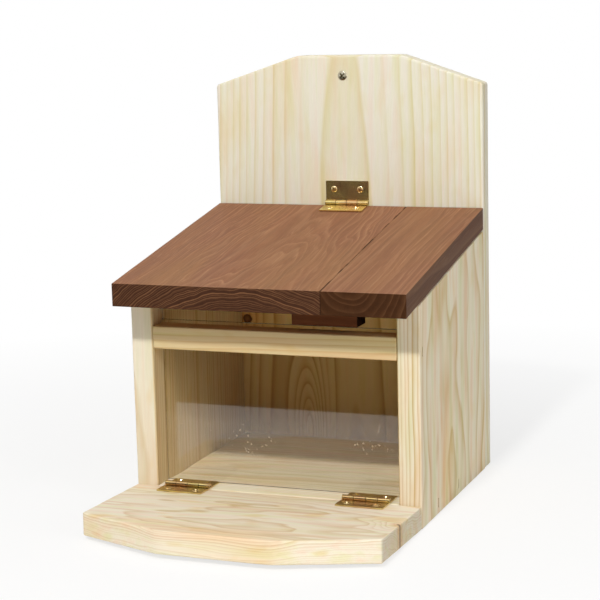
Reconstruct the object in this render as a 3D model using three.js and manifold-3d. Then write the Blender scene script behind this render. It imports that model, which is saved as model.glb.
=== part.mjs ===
// Squirrel feeder box: a pine box on a tall back board, with a stained lid on a top hinge, a clear
// window in grooves behind a front rail, and a landing platform that folds up on two hinges.
// Millimetres, +X to the right as seen from the front, -Y to the front, +Z up. The origin is on the
// standing surface, in the middle of the whole feeder with its platform down.
import * as THREE from 'three';
import { mergeVertices } from 'three/addons/utils/BufferGeometryUtils.js';
import Module from 'manifold-3d';

const wasm = await Module();
wasm.setup();

// Box boards: planed pine of one thickness
const boardThickness = 18;
const innerWidth = 200;
const sideDepth = 180;
const sideFrontHeight = 171;
const sideBackRise = 32;
const boardArris = 1.2;

// Back board: taller than the box, with its upper corners cut off
const shoulderRise = 120;
const peakRise = 24;
const backLeftSlopeWidth = 74.5;
const backRightSlopeWidth = 69.5;
const backArris = 2.2;

// Front rail: a square batten below the slot that the squirrel reaches in through
const slotHeight = 25;
const railHeight = 18;
const railDepth = 18;

// Window: a clear pane that slides down grooves in the sides
const paneThickness = 3;
const paneProud = 2;
const paneArris = 0.3;
const grooveDepth = 5;
const paneClearance = 0.3;

// Lid: two boards glued edge to edge, with plumb front and back ends
const lidOverhang = 31;
const lidNarrowBoardWidth = 66;
const lidArris = 0.6;
const lidSeatGap = 0.3;
const lidBackGap = 0.6;

// Block glued under the lid, across the joint of its two boards
const lidBlockWidth = 53;
const lidBlockDepth = 19;
const lidBlockSetback = 7.5;
const lidBlockReach = 15;
const lidBlockClearance = 2.5;

// Landing platform
const platformSideDepth = 93.5;
const platformNoseDepth = 28.5;
const platformCornerWidth = 73;
const platformGap = 0.3;
const platformArris = 1.5;
const platformTilt = THREE.MathUtils.degToRad(1.8);

// Rolled butt hinge: two like leaves with knuckles that take turns along one pin
const hingeLength = 38;
const hingeLeafWidth = 18.4;
const leafThickness = 1;
const leafCornerRadius = 0.8;
const knucklesPerLeaf = 2;
const knuckleGap = 0.5;
const notchClearance = 0.3;
const pinRadius = 1;
const pinClearance = 0.15;
const pinRecess = 0.3;
const pinEase = 0.25;
const hingeSeatGap = 0.25;
const hingeInset = 7;
const rollEndAngle = THREE.MathUtils.degToRad(22);

// Hinge screws: countersunk, with a cross recess
const hingeScrewEndInset = 7.4;
const hingeScrewFromAxis = 11.4;
const hingeScrewHeadRadius = 2.7;
const hingeScrewShankRadius = 1.4;
const hingeScrewTipCover = 5;

// Screws through the back board, and the hanging screw near its top
const backScrewHeadRadius = 3.9;
const backScrewShankRadius = 1.9;
const backScrewBite = 22;
const backScrewSink = 0.8;
const sideScrewHeightShares = [0.26, 0.78];
const floorScrewShare = 0.6;
const hangingScrewDrop = 17;
const hangingScrewOffset = 2.6;
const hangingScrewTipCover = 2;
const screwClearance = 0.3;

// Shapes of the screws, as shares of the head radius
const hingeScrewDomeShare = 0.28;
const backScrewDomeShare = 0.16;
const recessLengthShare = 1.3;
const recessWidthShare = 0.3;
const recessDepthShare = 0.5;
const tipLengthShare = 1.6;

// Staples: one through each side into each end of the rail, and two into each end of the floor
const stapleCrown = 7;
const stapleWireThickness = 1;
const stapleWireWidth = 1.3;
const stapleBite = 14;
const stapleSink = 0.4;
const stapleClearance = 0.3;
const railStapleSetback = 6.6;
const railStapleRiseShare = 0.38;
const floorStapleDepthShares = [0.24, 0.55];

// One overrun that carries every cut through the surface it opens
const overrun = 2;
const roundSegments = 14;
const arcSegments = 16;
const cornerSegments = 2;
const arrisSegments = 2;
const cornerRadiusShare = 1.5;

// Derived sizes
const boxWidth = innerWidth + 2 * boardThickness;
const halfBox = boxWidth / 2;
const halfInner = innerWidth / 2;
const sideBackHeight = sideFrontHeight + sideBackRise;
const shoulderHeight = sideBackHeight + shoulderRise;
const peakHeight = shoulderHeight + peakRise;
const backFaceY = sideDepth + boardThickness;
const lidSlope = Math.atan2(sideBackRise, sideDepth);
const lidPlumbThickness = boardThickness / Math.cos(lidSlope);
const railTop = sideFrontHeight - slotHeight;
const railBottom = railTop - railHeight;
const paneTop = railTop + paneProud;
const boreRadius = pinRadius + pinClearance;
const knuckleRadius = boreRadius + leafThickness;
const platformBackY = -platformGap;
const platformNoseY = -(platformSideDepth + platformNoseDepth);
const platformAxisY = platformBackY / 2;
const hingeAxisHeight = boardThickness + hingeSeatGap + knuckleRadius;
const leafReachY = platformAxisY + hingeLeafWidth;
const paneFrontY = Math.max(railDepth, leafReachY) + 2 * paneClearance;
const lidJointX = halfBox - lidNarrowBoardWidth;
const hingeScrewLength = boardThickness + leafThickness - hingeScrewTipCover;
const backScrewLength = boardThickness - backScrewSink + backScrewBite;
const hangingScrewLength = boardThickness - hangingScrewTipCover;
const stapleLength = boardThickness + stapleBite;
const platformFrontY =
  platformAxisY +
  (platformNoseY - platformAxisY) * Math.cos(platformTilt) -
  (hingeAxisHeight - platformArris) * Math.sin(platformTilt);
const middleY = (backFaceY + platformFrontY) / 2;

// Height of the sloping side tops, and of the lid's two faces over them
const sideTopZ = (y) => sideFrontHeight + y * Math.tan(lidSlope);
const lidUndersideZ = (y) => sideTopZ(y) + lidSeatGap / Math.cos(lidSlope);
const lidTopZ = (y) => lidUndersideZ(y) + lidPlumbThickness;

const pine = new THREE.MeshStandardMaterial({ color: 0xe6d6ae, roughness: 0.75, metalness: 0 });
const stainedPine = new THREE.MeshStandardMaterial({ color: 0x7a4c36, roughness: 0.6, metalness: 0 });
const brass = new THREE.MeshStandardMaterial({ color: 0xb09050, roughness: 0.35, metalness: 1 });
const steel = new THREE.MeshStandardMaterial({ color: 0xb8b6ae, roughness: 0.4, metalness: 1 });
const clearAcrylic = new THREE.MeshStandardMaterial({
  color: 0xe8eeea,
  roughness: 0.08,
  metalness: 0,
  transparent: true,
  opacity: 0.25,
});

// Closed mesh helpers

/** Merge the vertices of a closed geometry and drop the flat triangles at its poles. */
function weld(geometry) {
  const bare = geometry.clone();
  bare.deleteAttribute('normal');
  bare.deleteAttribute('uv');
  const merged = mergeVertices(bare);
  const corners = merged.index.array;
  const kept = [];
  for (let i = 0; i < corners.length; i += 3) {
    const [a, b, c] = [corners[i], corners[i + 1], corners[i + 2]];
    if (a !== b && b !== c && c !== a) kept.push(a, b, c);
  }
  merged.setIndex(kept);
  return merged;
}

function toSolid(geometry) {
  const welded = weld(geometry);
  const vertProperties = new Float32Array(welded.attributes.position.array);
  const triVerts = new Uint32Array(welded.index.array);
  return new wasm.Manifold(new wasm.Mesh({ numProp: 3, vertProperties, triVerts }));
}

function toGeometry(solid) {
  const mesh = solid.getMesh();
  const geometry = new THREE.BufferGeometry();
  geometry.setAttribute('position', new THREE.BufferAttribute(mesh.vertProperties, 3));
  geometry.setIndex(Array.from(mesh.triVerts));
  return geometry;
}

/** The geometry with every cutter taken out of it. */
function cut(geometry, cutters) {
  let solid = toSolid(geometry);
  for (const cutter of cutters) {
    solid = solid.subtract(toSolid(cutter));
  }
  return toGeometry(solid);
}

/** A cutting block between two corners. */
function block(low, high) {
  const size = high.map((value, axis) => value - low[axis]);
  const geometry = new THREE.BoxGeometry(...size);
  geometry.translate(...low.map((value, axis) => value + size[axis] / 2));
  return geometry;
}

// Boards

/** A closed outline through the points, with every corner rounded. */
function roundedOutline(points, radius) {
  const shape = new THREE.Shape();
  points.forEach((point, index) => {
    const corner = new THREE.Vector2(...point);
    const before = new THREE.Vector2(...points[(index + points.length - 1) % points.length]);
    const after = new THREE.Vector2(...points[(index + 1) % points.length]);
    const start = corner.clone().add(before.sub(corner).setLength(radius));
    const end = corner.clone().add(after.sub(corner).setLength(radius));
    if (index === 0) shape.moveTo(start.x, start.y);
    else shape.lineTo(start.x, start.y);
    shape.quadraticCurveTo(corner.x, corner.y, end.x, end.y);
  });
  shape.closePath();
  return shape;
}

/** A board of the given outline and thickness, from z = 0 up, with its arrises eased. */
function easedBoard(points, thickness, arris) {
  const geometry = new THREE.ExtrudeGeometry(roundedOutline(points, arris * cornerRadiusShare), {
    depth: thickness - 2 * arris,
    bevelThickness: arris,
    bevelSize: arris,
    bevelOffset: -arris,
    bevelSegments: arrisSegments,
    curveSegments: cornerSegments,
  });
  geometry.translate(0, 0, arris);
  return geometry;
}

/** Turn a board drawn in its (y, z) profile so that its thickness runs along +X from x. */
function acrossX(geometry, x) {
  const turn = new THREE.Matrix4().makeBasis(
    new THREE.Vector3(0, 1, 0),
    new THREE.Vector3(0, 0, 1),
    new THREE.Vector3(1, 0, 0),
  );
  return geometry.applyMatrix4(turn.setPosition(x, 0, 0));
}

/** Turn a board drawn in its (x, z) profile so that its thickness runs along -Y from y. */
function acrossY(geometry, y) {
  const turn = new THREE.Matrix4().makeBasis(
    new THREE.Vector3(1, 0, 0),
    new THREE.Vector3(0, 0, 1),
    new THREE.Vector3(0, -1, 0),
  );
  return geometry.applyMatrix4(turn.setPosition(0, y, 0));
}

// Screws: the head's rim lies in the plane z = 0 and the point looks down

function lathed(profile) {
  const points = profile.map(([radius, height]) => new THREE.Vector2(radius, height));
  const geometry = new THREE.LatheGeometry(points, roundSegments);
  return geometry.rotateX(Math.PI / 2);
}

/** A countersunk screw with a domed head and a cross recess. */
function screwGeometry({ headRadius, domeShare, shankRadius, length }) {
  const dome = headRadius * domeShare;
  const recessDepth = headRadius * recessDepthShare;
  const blank = lathed([
    [0, -length],
    [shankRadius, -(length - shankRadius * tipLengthShare)],
    [shankRadius, -(headRadius - shankRadius)],
    [headRadius, 0],
    [headRadius * Math.SQRT1_2, dome * Math.SQRT1_2],
    [0, dome],
  ]);
  const arm = [(headRadius * recessLengthShare) / 2, (headRadius * recessWidthShare) / 2];
  const cutters = [arm, [arm[1], arm[0]]].map(([halfX, halfY]) =>
    block([-halfX, -halfY, -recessDepth], [halfX, halfY, dome + overrun]),
  );
  return cut(blank, cutters);
}

/** The countersunk bore that a screw sits in, open above its head. */
function boreCutter({ headRadius, shankRadius, length }) {
  const mouth = headRadius + screwClearance;
  const bore = shankRadius + screwClearance;
  return lathed([
    [0, -(length + screwClearance)],
    [bore, -(length + screwClearance)],
    [bore, -(headRadius - shankRadius)],
    [mouth, 0],
    [mouth, overrun],
    [0, overrun],
  ]);
}

const hingeScrew = {
  headRadius: hingeScrewHeadRadius,
  domeShare: hingeScrewDomeShare,
  shankRadius: hingeScrewShankRadius,
  length: hingeScrewLength,
};
const backScrew = {
  headRadius: backScrewHeadRadius,
  domeShare: backScrewDomeShare,
  shankRadius: backScrewShankRadius,
  length: backScrewLength,
};
const hangingScrew = { ...backScrew, length: hangingScrewLength };

// Staples: the crown lies along Z in the plane x = 0 and the legs run along -X

/** The bent wire of a staple, made larger all round by a clearance. */
function stapleGeometry(clearance) {
  const outer = stapleCrown / 2 + clearance;
  const inner = stapleCrown / 2 - stapleWireThickness - clearance;
  const tip = -(stapleLength + clearance);
  const shape = new THREE.Shape();
  shape.moveTo(clearance, -outer);
  shape.lineTo(clearance, outer);
  shape.lineTo(tip, outer);
  shape.lineTo(tip, inner);
  shape.lineTo(-stapleWireThickness - clearance, inner);
  shape.lineTo(-stapleWireThickness - clearance, -inner);
  shape.lineTo(tip, -inner);
  shape.lineTo(tip, -outer);
  shape.closePath();
  const depth = stapleWireWidth + 2 * clearance;
  const geometry = new THREE.ExtrudeGeometry(shape, { depth, bevelEnabled: false });
  geometry.translate(0, 0, -depth / 2);
  return geometry.rotateX(Math.PI / 2);
}

/** The slot that a staple sits in, open above its sunk crown. */
function stapleCutters() {
  const halfCrown = stapleCrown / 2 + stapleClearance;
  const halfWire = stapleWireWidth / 2 + stapleClearance;
  const mouth = block([-stapleWireThickness / 2, -halfWire, -halfCrown], [overrun, halfWire, halfCrown]);
  return [stapleGeometry(stapleClearance), mouth];
}

// Hinges: the pin's axis is the local X axis, the leaf reaches along +Y with its seat facing down

/** The sheet of one leaf in profile: a flat strip rolled round the pin at one end. */
function rolledProfile() {
  const shape = new THREE.Shape();
  const bottom = -Math.PI / 2;
  shape.moveTo(hingeLeafWidth, -knuckleRadius);
  shape.lineTo(0, -knuckleRadius);
  shape.absarc(0, 0, knuckleRadius, bottom, -rollEndAngle, true);
  shape.absarc(0, 0, boreRadius, -rollEndAngle, bottom, false);
  shape.lineTo(hingeLeafWidth, -boreRadius);
  shape.closePath();
  return shape;
}

/** One leaf: its knuckles are the odd ones of the row, and its screw holes are countersunk. */
function leafGeometry() {
  const sheet = new THREE.ExtrudeGeometry(rolledProfile(), {
    depth: hingeLength,
    bevelEnabled: false,
    curveSegments: arcSegments,
  });
  acrossX(sheet, -hingeLength / 2);

  const knuckleCount = 2 * knucklesPerLeaf;
  const pitch = (hingeLength + knuckleGap) / knuckleCount;
  const notchReach = knuckleRadius + notchClearance;
  const notches = [];
  for (let row = 1; row < knuckleCount; row += 2) {
    const left = -hingeLength / 2 + row * pitch - knuckleGap;
    const right = row === knuckleCount - 1 ? hingeLength / 2 + overrun : left + pitch + knuckleGap;
    notches.push(block([left, -notchReach, -notchReach], [right, notchReach, notchReach]));
  }

  const cornerBlank = roundedOutline(
    [
      [-hingeLength / 2, -notchReach],
      [hingeLength / 2, -notchReach],
      [hingeLength / 2, hingeLeafWidth],
      [-hingeLength / 2, hingeLeafWidth],
    ],
    leafCornerRadius,
  );
  const envelope = new THREE.ExtrudeGeometry(cornerBlank, {
    depth: 2 * notchReach,
    bevelEnabled: false,
    curveSegments: cornerSegments + 1,
  });
  envelope.translate(0, 0, -notchReach);

  const bores = leafScrewPlaces().map((place) => boreCutter(hingeScrew).applyMatrix4(place));
  const rounded = toGeometry(toSolid(sheet).intersect(toSolid(envelope)));
  return cut(rounded, [...notches, ...bores]);
}

/** Where the two screws sit in a leaf. */
function leafScrewPlaces() {
  const reach = hingeLength / 2 - hingeScrewEndInset;
  return [-reach, reach].map((x) =>
    new THREE.Matrix4().makeTranslation(x, hingeScrewFromAxis, -boreRadius),
  );
}

/** The pin, with its ends eased and just inside the outer knuckles. */
function pinGeometry() {
  const half = hingeLength / 2 - pinRecess;
  const pin = lathed([
    [0, -half],
    [pinRadius - pinEase, -half],
    [pinRadius, -half + pinEase],
    [pinRadius, half - pinEase],
    [pinRadius - pinEase, half],
    [0, half],
  ]);
  return pin.rotateY(Math.PI / 2);
}

/** Place of a leaf: at the pin's axis, turned about Z to choose its side, then tilted about X. */
function leafPlace(axis, tilt, turn) {
  const place = new THREE.Matrix4().makeRotationFromEuler(new THREE.Euler(tilt, 0, turn, 'XYZ'));
  return place.setPosition(axis);
}

const hingeCentreX = halfInner - hingeInset - hingeLength / 2;
const topAxisY = sideDepth - hingeSeatGap - knuckleRadius;
const topAxisZ = lidTopZ(topAxisY) + (hingeSeatGap + knuckleRadius) / Math.cos(lidSlope);

const leftAxis = new THREE.Vector3(-hingeCentreX, platformAxisY, hingeAxisHeight);
const rightAxis = new THREE.Vector3(hingeCentreX, platformAxisY, hingeAxisHeight);
const topAxis = new THREE.Vector3(0, topAxisY, topAxisZ);

const leafPlaces = {
  left_hinge_floor: leafPlace(leftAxis, 0, 0),
  left_hinge_platform: leafPlace(leftAxis, -platformTilt, Math.PI),
  right_hinge_floor: leafPlace(rightAxis, 0, 0),
  right_hinge_platform: leafPlace(rightAxis, -platformTilt, Math.PI),
  top_hinge_back: leafPlace(topAxis, Math.PI / 2, 0),
  top_hinge_lid: leafPlace(topAxis, lidSlope, Math.PI),
};

/** Places of the two screws of a leaf, in the box's frame. */
function screwPlacesOf(leaf) {
  return leafScrewPlaces().map((place) => place.premultiply(leafPlaces[leaf]));
}

function hingeBores(leaves) {
  const places = leaves.flatMap((leaf) => screwPlacesOf(leaf));
  return places.map((place) => boreCutter(hingeScrew).applyMatrix4(place));
}

// Screws that go through the back board: driven towards -Y from behind

const behind = new THREE.Matrix4().makeRotationX(-Math.PI / 2);
const backScrewY = backFaceY - backScrewSink;
const sideMiddleX = halfInner + boardThickness / 2;

const backScrewPlaces = {};
for (const [side, sign] of [['left', -1], ['right', 1]]) {
  sideScrewHeightShares.forEach((share, index) => {
    const place = behind.clone().setPosition(sign * sideMiddleX, backScrewY, sideBackHeight * share);
    backScrewPlaces[`back_screw_${side}_${index === 0 ? 'lower' : 'upper'}`] = place;
  });
  const floorX = sign * halfInner * floorScrewShare;
  const floorPlace = behind.clone().setPosition(floorX, backScrewY, boardThickness / 2);
  backScrewPlaces[`back_screw_floor_${side}`] = floorPlace;
}
const hangingPlace = new THREE.Matrix4()
  .makeRotationX(Math.PI / 2)
  .setPosition(-hangingScrewOffset, sideDepth, peakHeight - hangingScrewDrop);

function backBores() {
  return Object.values(backScrewPlaces).map((place) => boreCutter(backScrew).applyMatrix4(place));
}

// Staples through the sides: driven towards the middle from outside

const staplePlaces = {};
for (const [side, sign] of [['left', -1], ['right', 1]]) {
  const facing = new THREE.Matrix4().makeRotationZ(sign > 0 ? 0 : Math.PI);
  const crownX = sign * (halfBox - stapleSink);
  const railZ = railBottom + railHeight * railStapleRiseShare;
  staplePlaces[`rail_staple_${side}`] = facing.clone().setPosition(crownX, railStapleSetback, railZ);
  floorStapleDepthShares.forEach((share, index) => {
    const place = facing.clone().setPosition(crownX, sideDepth * share, boardThickness / 2);
    staplePlaces[`floor_staple_${side}_${index === 0 ? 'front' : 'back'}`] = place;
  });
}

function stapleSlots() {
  return Object.values(staplePlaces).flatMap((place) =>
    stapleCutters().map((cutter) => cutter.applyMatrix4(place)),
  );
}

// Pieces

function sideBoard(sign) {
  const profile = [
    [0, 0],
    [sideDepth, 0],
    [sideDepth, sideBackHeight],
    [0, sideFrontHeight],
  ];
  const outerX = sign > 0 ? halfInner : -halfBox;
  const blank = acrossX(easedBoard(profile, boardThickness, boardArris), outerX);
  const grooveX = [sign * (halfInner - overrun), sign * (halfInner + grooveDepth)];
  const groove = block(
    [Math.min(...grooveX), paneFrontY - paneClearance, boardThickness],
    [Math.max(...grooveX), paneFrontY + paneThickness + paneClearance, sideBackHeight],
  );
  return cut(blank, [groove, ...backBores(), ...stapleSlots()]);
}

function backBoard() {
  const profile = [
    [-halfBox, 0],
    [halfBox, 0],
    [halfBox, shoulderHeight],
    [halfBox - backRightSlopeWidth, peakHeight],
    [-halfBox + backLeftSlopeWidth, peakHeight],
    [-halfBox, shoulderHeight],
  ];
  const blank = acrossY(easedBoard(profile, boardThickness, backArris), backFaceY);
  const hangingBore = boreCutter(hangingScrew).applyMatrix4(hangingPlace);
  return cut(blank, [...backBores(), hangingBore, ...hingeBores(['top_hinge_back'])]);
}

function floorBoard() {
  const outline = [
    [-halfInner, 0],
    [halfInner, 0],
    [halfInner, sideDepth],
    [-halfInner, sideDepth],
  ];
  const blank = easedBoard(outline, boardThickness, boardArris);
  const bores = hingeBores(['left_hinge_floor', 'right_hinge_floor']);
  return cut(blank, [...bores, ...backBores(), ...stapleSlots()]);
}

function frontRail() {
  const section = [
    [0, railBottom],
    [railDepth, railBottom],
    [railDepth, railTop],
    [0, railTop],
  ];
  return cut(acrossX(easedBoard(section, innerWidth, boardArris), -halfInner), stapleSlots());
}

function windowPane() {
  const halfPane = halfInner + grooveDepth - paneClearance;
  const outline = [
    [-halfPane, boardThickness],
    [halfPane, boardThickness],
    [halfPane, paneTop],
    [-halfPane, paneTop],
  ];
  return acrossY(easedBoard(outline, paneThickness, paneArris), paneFrontY + paneThickness);
}

function lidBoard(leftX, rightX) {
  const backY = sideDepth - lidBackGap;
  const profile = [
    [-lidOverhang, lidUndersideZ(-lidOverhang)],
    [backY, lidUndersideZ(backY)],
    [backY, lidTopZ(backY)],
    [-lidOverhang, lidTopZ(-lidOverhang)],
  ];
  const blank = acrossX(easedBoard(profile, rightX - leftX, lidArris), leftX);
  return cut(blank, hingeBores(['top_hinge_lid']));
}

function lidBlock() {
  const backY = lidBlockSetback + lidBlockDepth;
  const bottom = paneTop + lidBlockClearance;
  const topZ = (y) => lidUndersideZ(y) - lidSeatGap / Math.cos(lidSlope);
  const profile = [
    [lidBlockSetback, bottom],
    [backY, bottom],
    [backY, topZ(backY)],
    [lidBlockSetback, topZ(lidBlockSetback)],
  ];
  const leftX = lidJointX + lidBlockReach - lidBlockWidth;
  return acrossX(easedBoard(profile, lidBlockWidth, lidArris), leftX);
}

/** The platform: cut out level, then tilted up about its hinges' axis. */
function platformBoard() {
  const kinkX = halfBox - platformCornerWidth;
  const outline = [
    [-halfBox, platformBackY],
    [-halfBox, -platformSideDepth],
    [-kinkX, platformNoseY],
    [kinkX, platformNoseY],
    [halfBox, -platformSideDepth],
    [halfBox, platformBackY],
  ];
  const blank = easedBoard(outline, boardThickness, platformArris)
    .translate(0, -platformAxisY, -hingeAxisHeight)
    .rotateX(-platformTilt)
    .translate(0, platformAxisY, hingeAxisHeight);
  return cut(blank, hingeBores(['left_hinge_platform', 'right_hinge_platform']));
}

// Assembly

function piece(name, geometry, material, place = null) {
  const mesh = new THREE.Mesh(weld(geometry), material);
  mesh.name = name;
  if (place) place.decompose(mesh.position, mesh.quaternion, mesh.scale);
  return mesh;
}

/** A leaf with its two screws. */
function leafWithScrews(leaf) {
  const group = new THREE.Group();
  group.add(piece(`${leaf}_leaf`, leafGeometry(), brass, leafPlaces[leaf]));
  screwPlacesOf(leaf).forEach((place, index) => {
    const name = `${leaf}_screw_${index + 1}`;
    group.add(piece(name, screwGeometry(hingeScrew), brass, place));
  });
  return group;
}

function hingePin(name, axis) {
  return piece(name, pinGeometry(), brass, new THREE.Matrix4().setPosition(axis));
}

const box = new THREE.Group();
box.add(
  piece('back_board', backBoard(), pine),
  piece('left_side', sideBoard(-1), pine),
  piece('right_side', sideBoard(1), pine),
  piece('floor_board', floorBoard(), pine),
  piece('front_rail', frontRail(), pine),
  piece('window_pane', windowPane(), clearAcrylic),
  piece('hanging_screw', screwGeometry(hangingScrew), steel, hangingPlace),
  leafWithScrews('top_hinge_back'),
  leafWithScrews('left_hinge_floor'),
  leafWithScrews('right_hinge_floor'),
  hingePin('top_hinge_pin', topAxis),
  hingePin('left_hinge_pin', leftAxis),
  hingePin('right_hinge_pin', rightAxis),
);
for (const [name, place] of Object.entries(backScrewPlaces)) {
  box.add(piece(name, screwGeometry(backScrew), steel, place));
}
for (const [name, place] of Object.entries(staplePlaces)) {
  box.add(piece(name, stapleGeometry(0), steel, place));
}

const lid = new THREE.Group();
lid.add(
  piece('lid_wide_board', lidBoard(-halfBox, lidJointX), stainedPine),
  piece('lid_narrow_board', lidBoard(lidJointX, halfBox), stainedPine),
  piece('lid_block', lidBlock(), stainedPine),
  leafWithScrews('top_hinge_lid'),
);

const platform = new THREE.Group();
platform.add(
  piece('platform_board', platformBoard(), pine),
  leafWithScrews('left_hinge_platform'),
  leafWithScrews('right_hinge_platform'),
);

const feeder = new THREE.Group();
feeder.add(box, lid, platform);
feeder.position.set(0, -middleY, 0);

export default feeder;
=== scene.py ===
"""Squirrel feeder box: planed pine, a stained lid, rolled brass hinges and a clear window.

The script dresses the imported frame. Shapes are worked out in millimetres with numpy, in the frame of
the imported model, and become Blender meshes in metres. Wood is one solid pattern for each board: growth
rings round the middle line of the trunk that the board was sawn from.
"""

import logging
import math
from dataclasses import dataclass, field
from enum import Enum
from typing import Any, Callable, Iterable, Optional, Sequence, Union

import bpy
import numpy as np
from mathutils import Matrix, Vector


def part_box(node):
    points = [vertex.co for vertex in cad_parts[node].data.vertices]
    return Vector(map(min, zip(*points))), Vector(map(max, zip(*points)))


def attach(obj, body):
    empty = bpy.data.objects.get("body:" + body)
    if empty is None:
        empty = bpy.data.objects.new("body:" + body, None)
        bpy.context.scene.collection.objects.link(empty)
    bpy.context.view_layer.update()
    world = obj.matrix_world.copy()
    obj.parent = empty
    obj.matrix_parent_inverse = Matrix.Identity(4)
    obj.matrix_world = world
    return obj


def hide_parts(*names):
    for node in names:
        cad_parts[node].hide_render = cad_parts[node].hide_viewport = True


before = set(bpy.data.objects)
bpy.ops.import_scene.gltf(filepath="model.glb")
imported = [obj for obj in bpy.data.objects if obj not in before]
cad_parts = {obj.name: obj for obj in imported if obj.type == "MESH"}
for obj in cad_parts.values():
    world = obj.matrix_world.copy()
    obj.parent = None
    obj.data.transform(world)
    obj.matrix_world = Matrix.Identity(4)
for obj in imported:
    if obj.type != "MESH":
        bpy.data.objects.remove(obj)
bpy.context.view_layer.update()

log = logging.getLogger("feeder")

Triple = tuple[float, float, float]
Socket = bpy.types.NodeSocket
Tree = bpy.types.NodeTree
Material = bpy.types.Material
Mesh = bpy.types.Mesh
Thing = bpy.types.Object

# A node's inputs by name, or as a list in their order
Inputs = Union[dict[str, Any], Sequence[Any]]

# Where a ramp starts and ends, and what it gives there
Ramp = tuple[float, float, float, float]

MM = 0.001


class Body(Enum):
    """The bodies that a piece can ride on."""

    BOX = "box"
    LID = "lid"
    PLATFORM = "platform"


class Slot(Enum):
    """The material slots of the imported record."""

    PINE = "pine"
    STAINED = "stained_pine"
    ACRYLIC = "clear_acrylic"
    BRASS = "brass"
    STEEL = "zinc_plated_steel"


class Side(Enum):
    """Left and right as seen from the front, with the sign of X."""

    LEFT = -1
    RIGHT = 1

    @property
    def word(self) -> str:
        """The side's name in a node's name."""
        return self.name.lower()


# What a piece's name ends with
ENDINGS = {
    Slot.PINE: "planed",
    Slot.STAINED: "stained",
    Slot.ACRYLIC: "clear",
    Slot.BRASS: "brass",
    Slot.STEEL: "plated",
}

# Sizes that several pieces share, in millimetres. The skin is how deep the painted shade of the inside
# goes
BOARD = 18.0
SCREW_CLEARANCE = 0.3
OVERRUN = 2.0
SKIN = 0.6

# Angles in degrees: edges sharper than these are worn round, or stay sharp in the shading
WORN_ANGLE = 40.0
SMOOTH_ANGLE = 32.0
SMALL_SMOOTH_ANGLE = 40.0


def box_mm(node: str) -> tuple[np.ndarray, np.ndarray]:
    """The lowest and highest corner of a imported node.

    Args:
        node: the node's name.

    Returns:
        Two points in millimetres.
    """
    low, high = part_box(node)
    return np.array(low) / MM, np.array(high) / MM


# Surfaces


@dataclass
class Surface:
    """A closed surface: its points in millimetres and its faces as rows of point numbers."""

    points: np.ndarray
    faces: list[list[int]]

    def moved(self, matrix: Matrix) -> "Surface":
        """The surface after a rigid move.

        Args:
            matrix: a 4 by 4 matrix in millimetres.

        Returns:
            A new surface with the same faces.
        """
        move = np.array(matrix)
        return Surface(self.points @ move[:3, :3].T + move[:3, 3], self.faces)


def grid_faces(rows: int, columns: int, wrap: bool) -> np.ndarray:
    """Four-sided faces between the points of a grid that is stored row by row.

    Args:
        rows: how many rows of points there are.
        columns: how many points a row has.
        wrap: True if each row closes on itself.

    Returns:
        An array of faces, each the numbers of its four corners.
    """
    across = columns if wrap else columns - 1
    row, column = np.meshgrid(np.arange(rows - 1), np.arange(across), indexing="ij")
    beside = (column + 1) % columns
    here, below = row * columns, (row + 1) * columns
    corners = [here + column, here + beside, below + beside, below + column]
    return np.stack([corner.ravel() for corner in corners], axis=1)


def tube(rings: np.ndarray) -> Surface:
    """A closed surface through a row of closed rings, with a flat face at each end.

    Args:
        rings: the points, as rings by points by three.

    Returns:
        The surface, turned so that its faces look out.
    """
    count, around = rings.shape[:2]
    faces = grid_faces(count, around, wrap=True).tolist()
    faces.append(list(range(around))[::-1])
    faces.append([(count - 1) * around + number for number in range(around)])
    return outward(Surface(rings.reshape(-1, 3), faces))


def outward(surface: Surface) -> Surface:
    """The surface with its faces looking out.

    The volume is the sum over the faces' triangles of a . (b x c) / 6, and it is negative where the
    faces look in.

    Args:
        surface: a closed surface.

    Returns:
        The same surface, or one with every face turned over.
    """
    total = 0.0
    points = surface.points
    by_size: dict[int, list[list[int]]] = {}
    for face in surface.faces:
        by_size.setdefault(len(face), []).append(face)
    for size, group in by_size.items():
        corners = points[np.array(group)]
        for step in range(1, size - 1):
            crossed = np.cross(corners[:, step], corners[:, step + 1])
            total += float(np.einsum("ij,ij->", corners[:, 0], crossed))
    if total < 0:
        return Surface(points, [face[::-1] for face in surface.faces])
    return surface


def prism(outline: np.ndarray, ends: Sequence[float], axis: int) -> Surface:
    """An outline carried along an axis.

    Args:
        outline: its points, with the two coordinates across the axis in the order X, Y, Z.
        ends: where it starts and ends along the axis.
        axis: 0, 1 or 2 for X, Y or Z.

    Returns:
        The closed surface.
    """
    return tube(np.stack([np.insert(outline, axis, end, axis=1) for end in ends]))


def revolved(radii: np.ndarray, heights: np.ndarray, around: int) -> Surface:
    """A solid of revolution about Z: each ring is radius * (cos a, sin a) at its height.

    Args:
        radii: the radius of each ring; the first and last are more than zero.
        heights: the height of each ring.
        around: how many points each ring has.

    Returns:
        The closed surface.
    """
    angle = np.linspace(0, 2 * np.pi, around, endpoint=False)
    ring = np.stack([np.cos(angle), np.sin(angle)], axis=-1)
    flat = radii[:, None, None] * ring[None]
    rise = np.broadcast_to(heights[:, None, None], flat.shape[:2] + (1,))
    return tube(np.concatenate([flat, rise], axis=-1))


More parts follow.
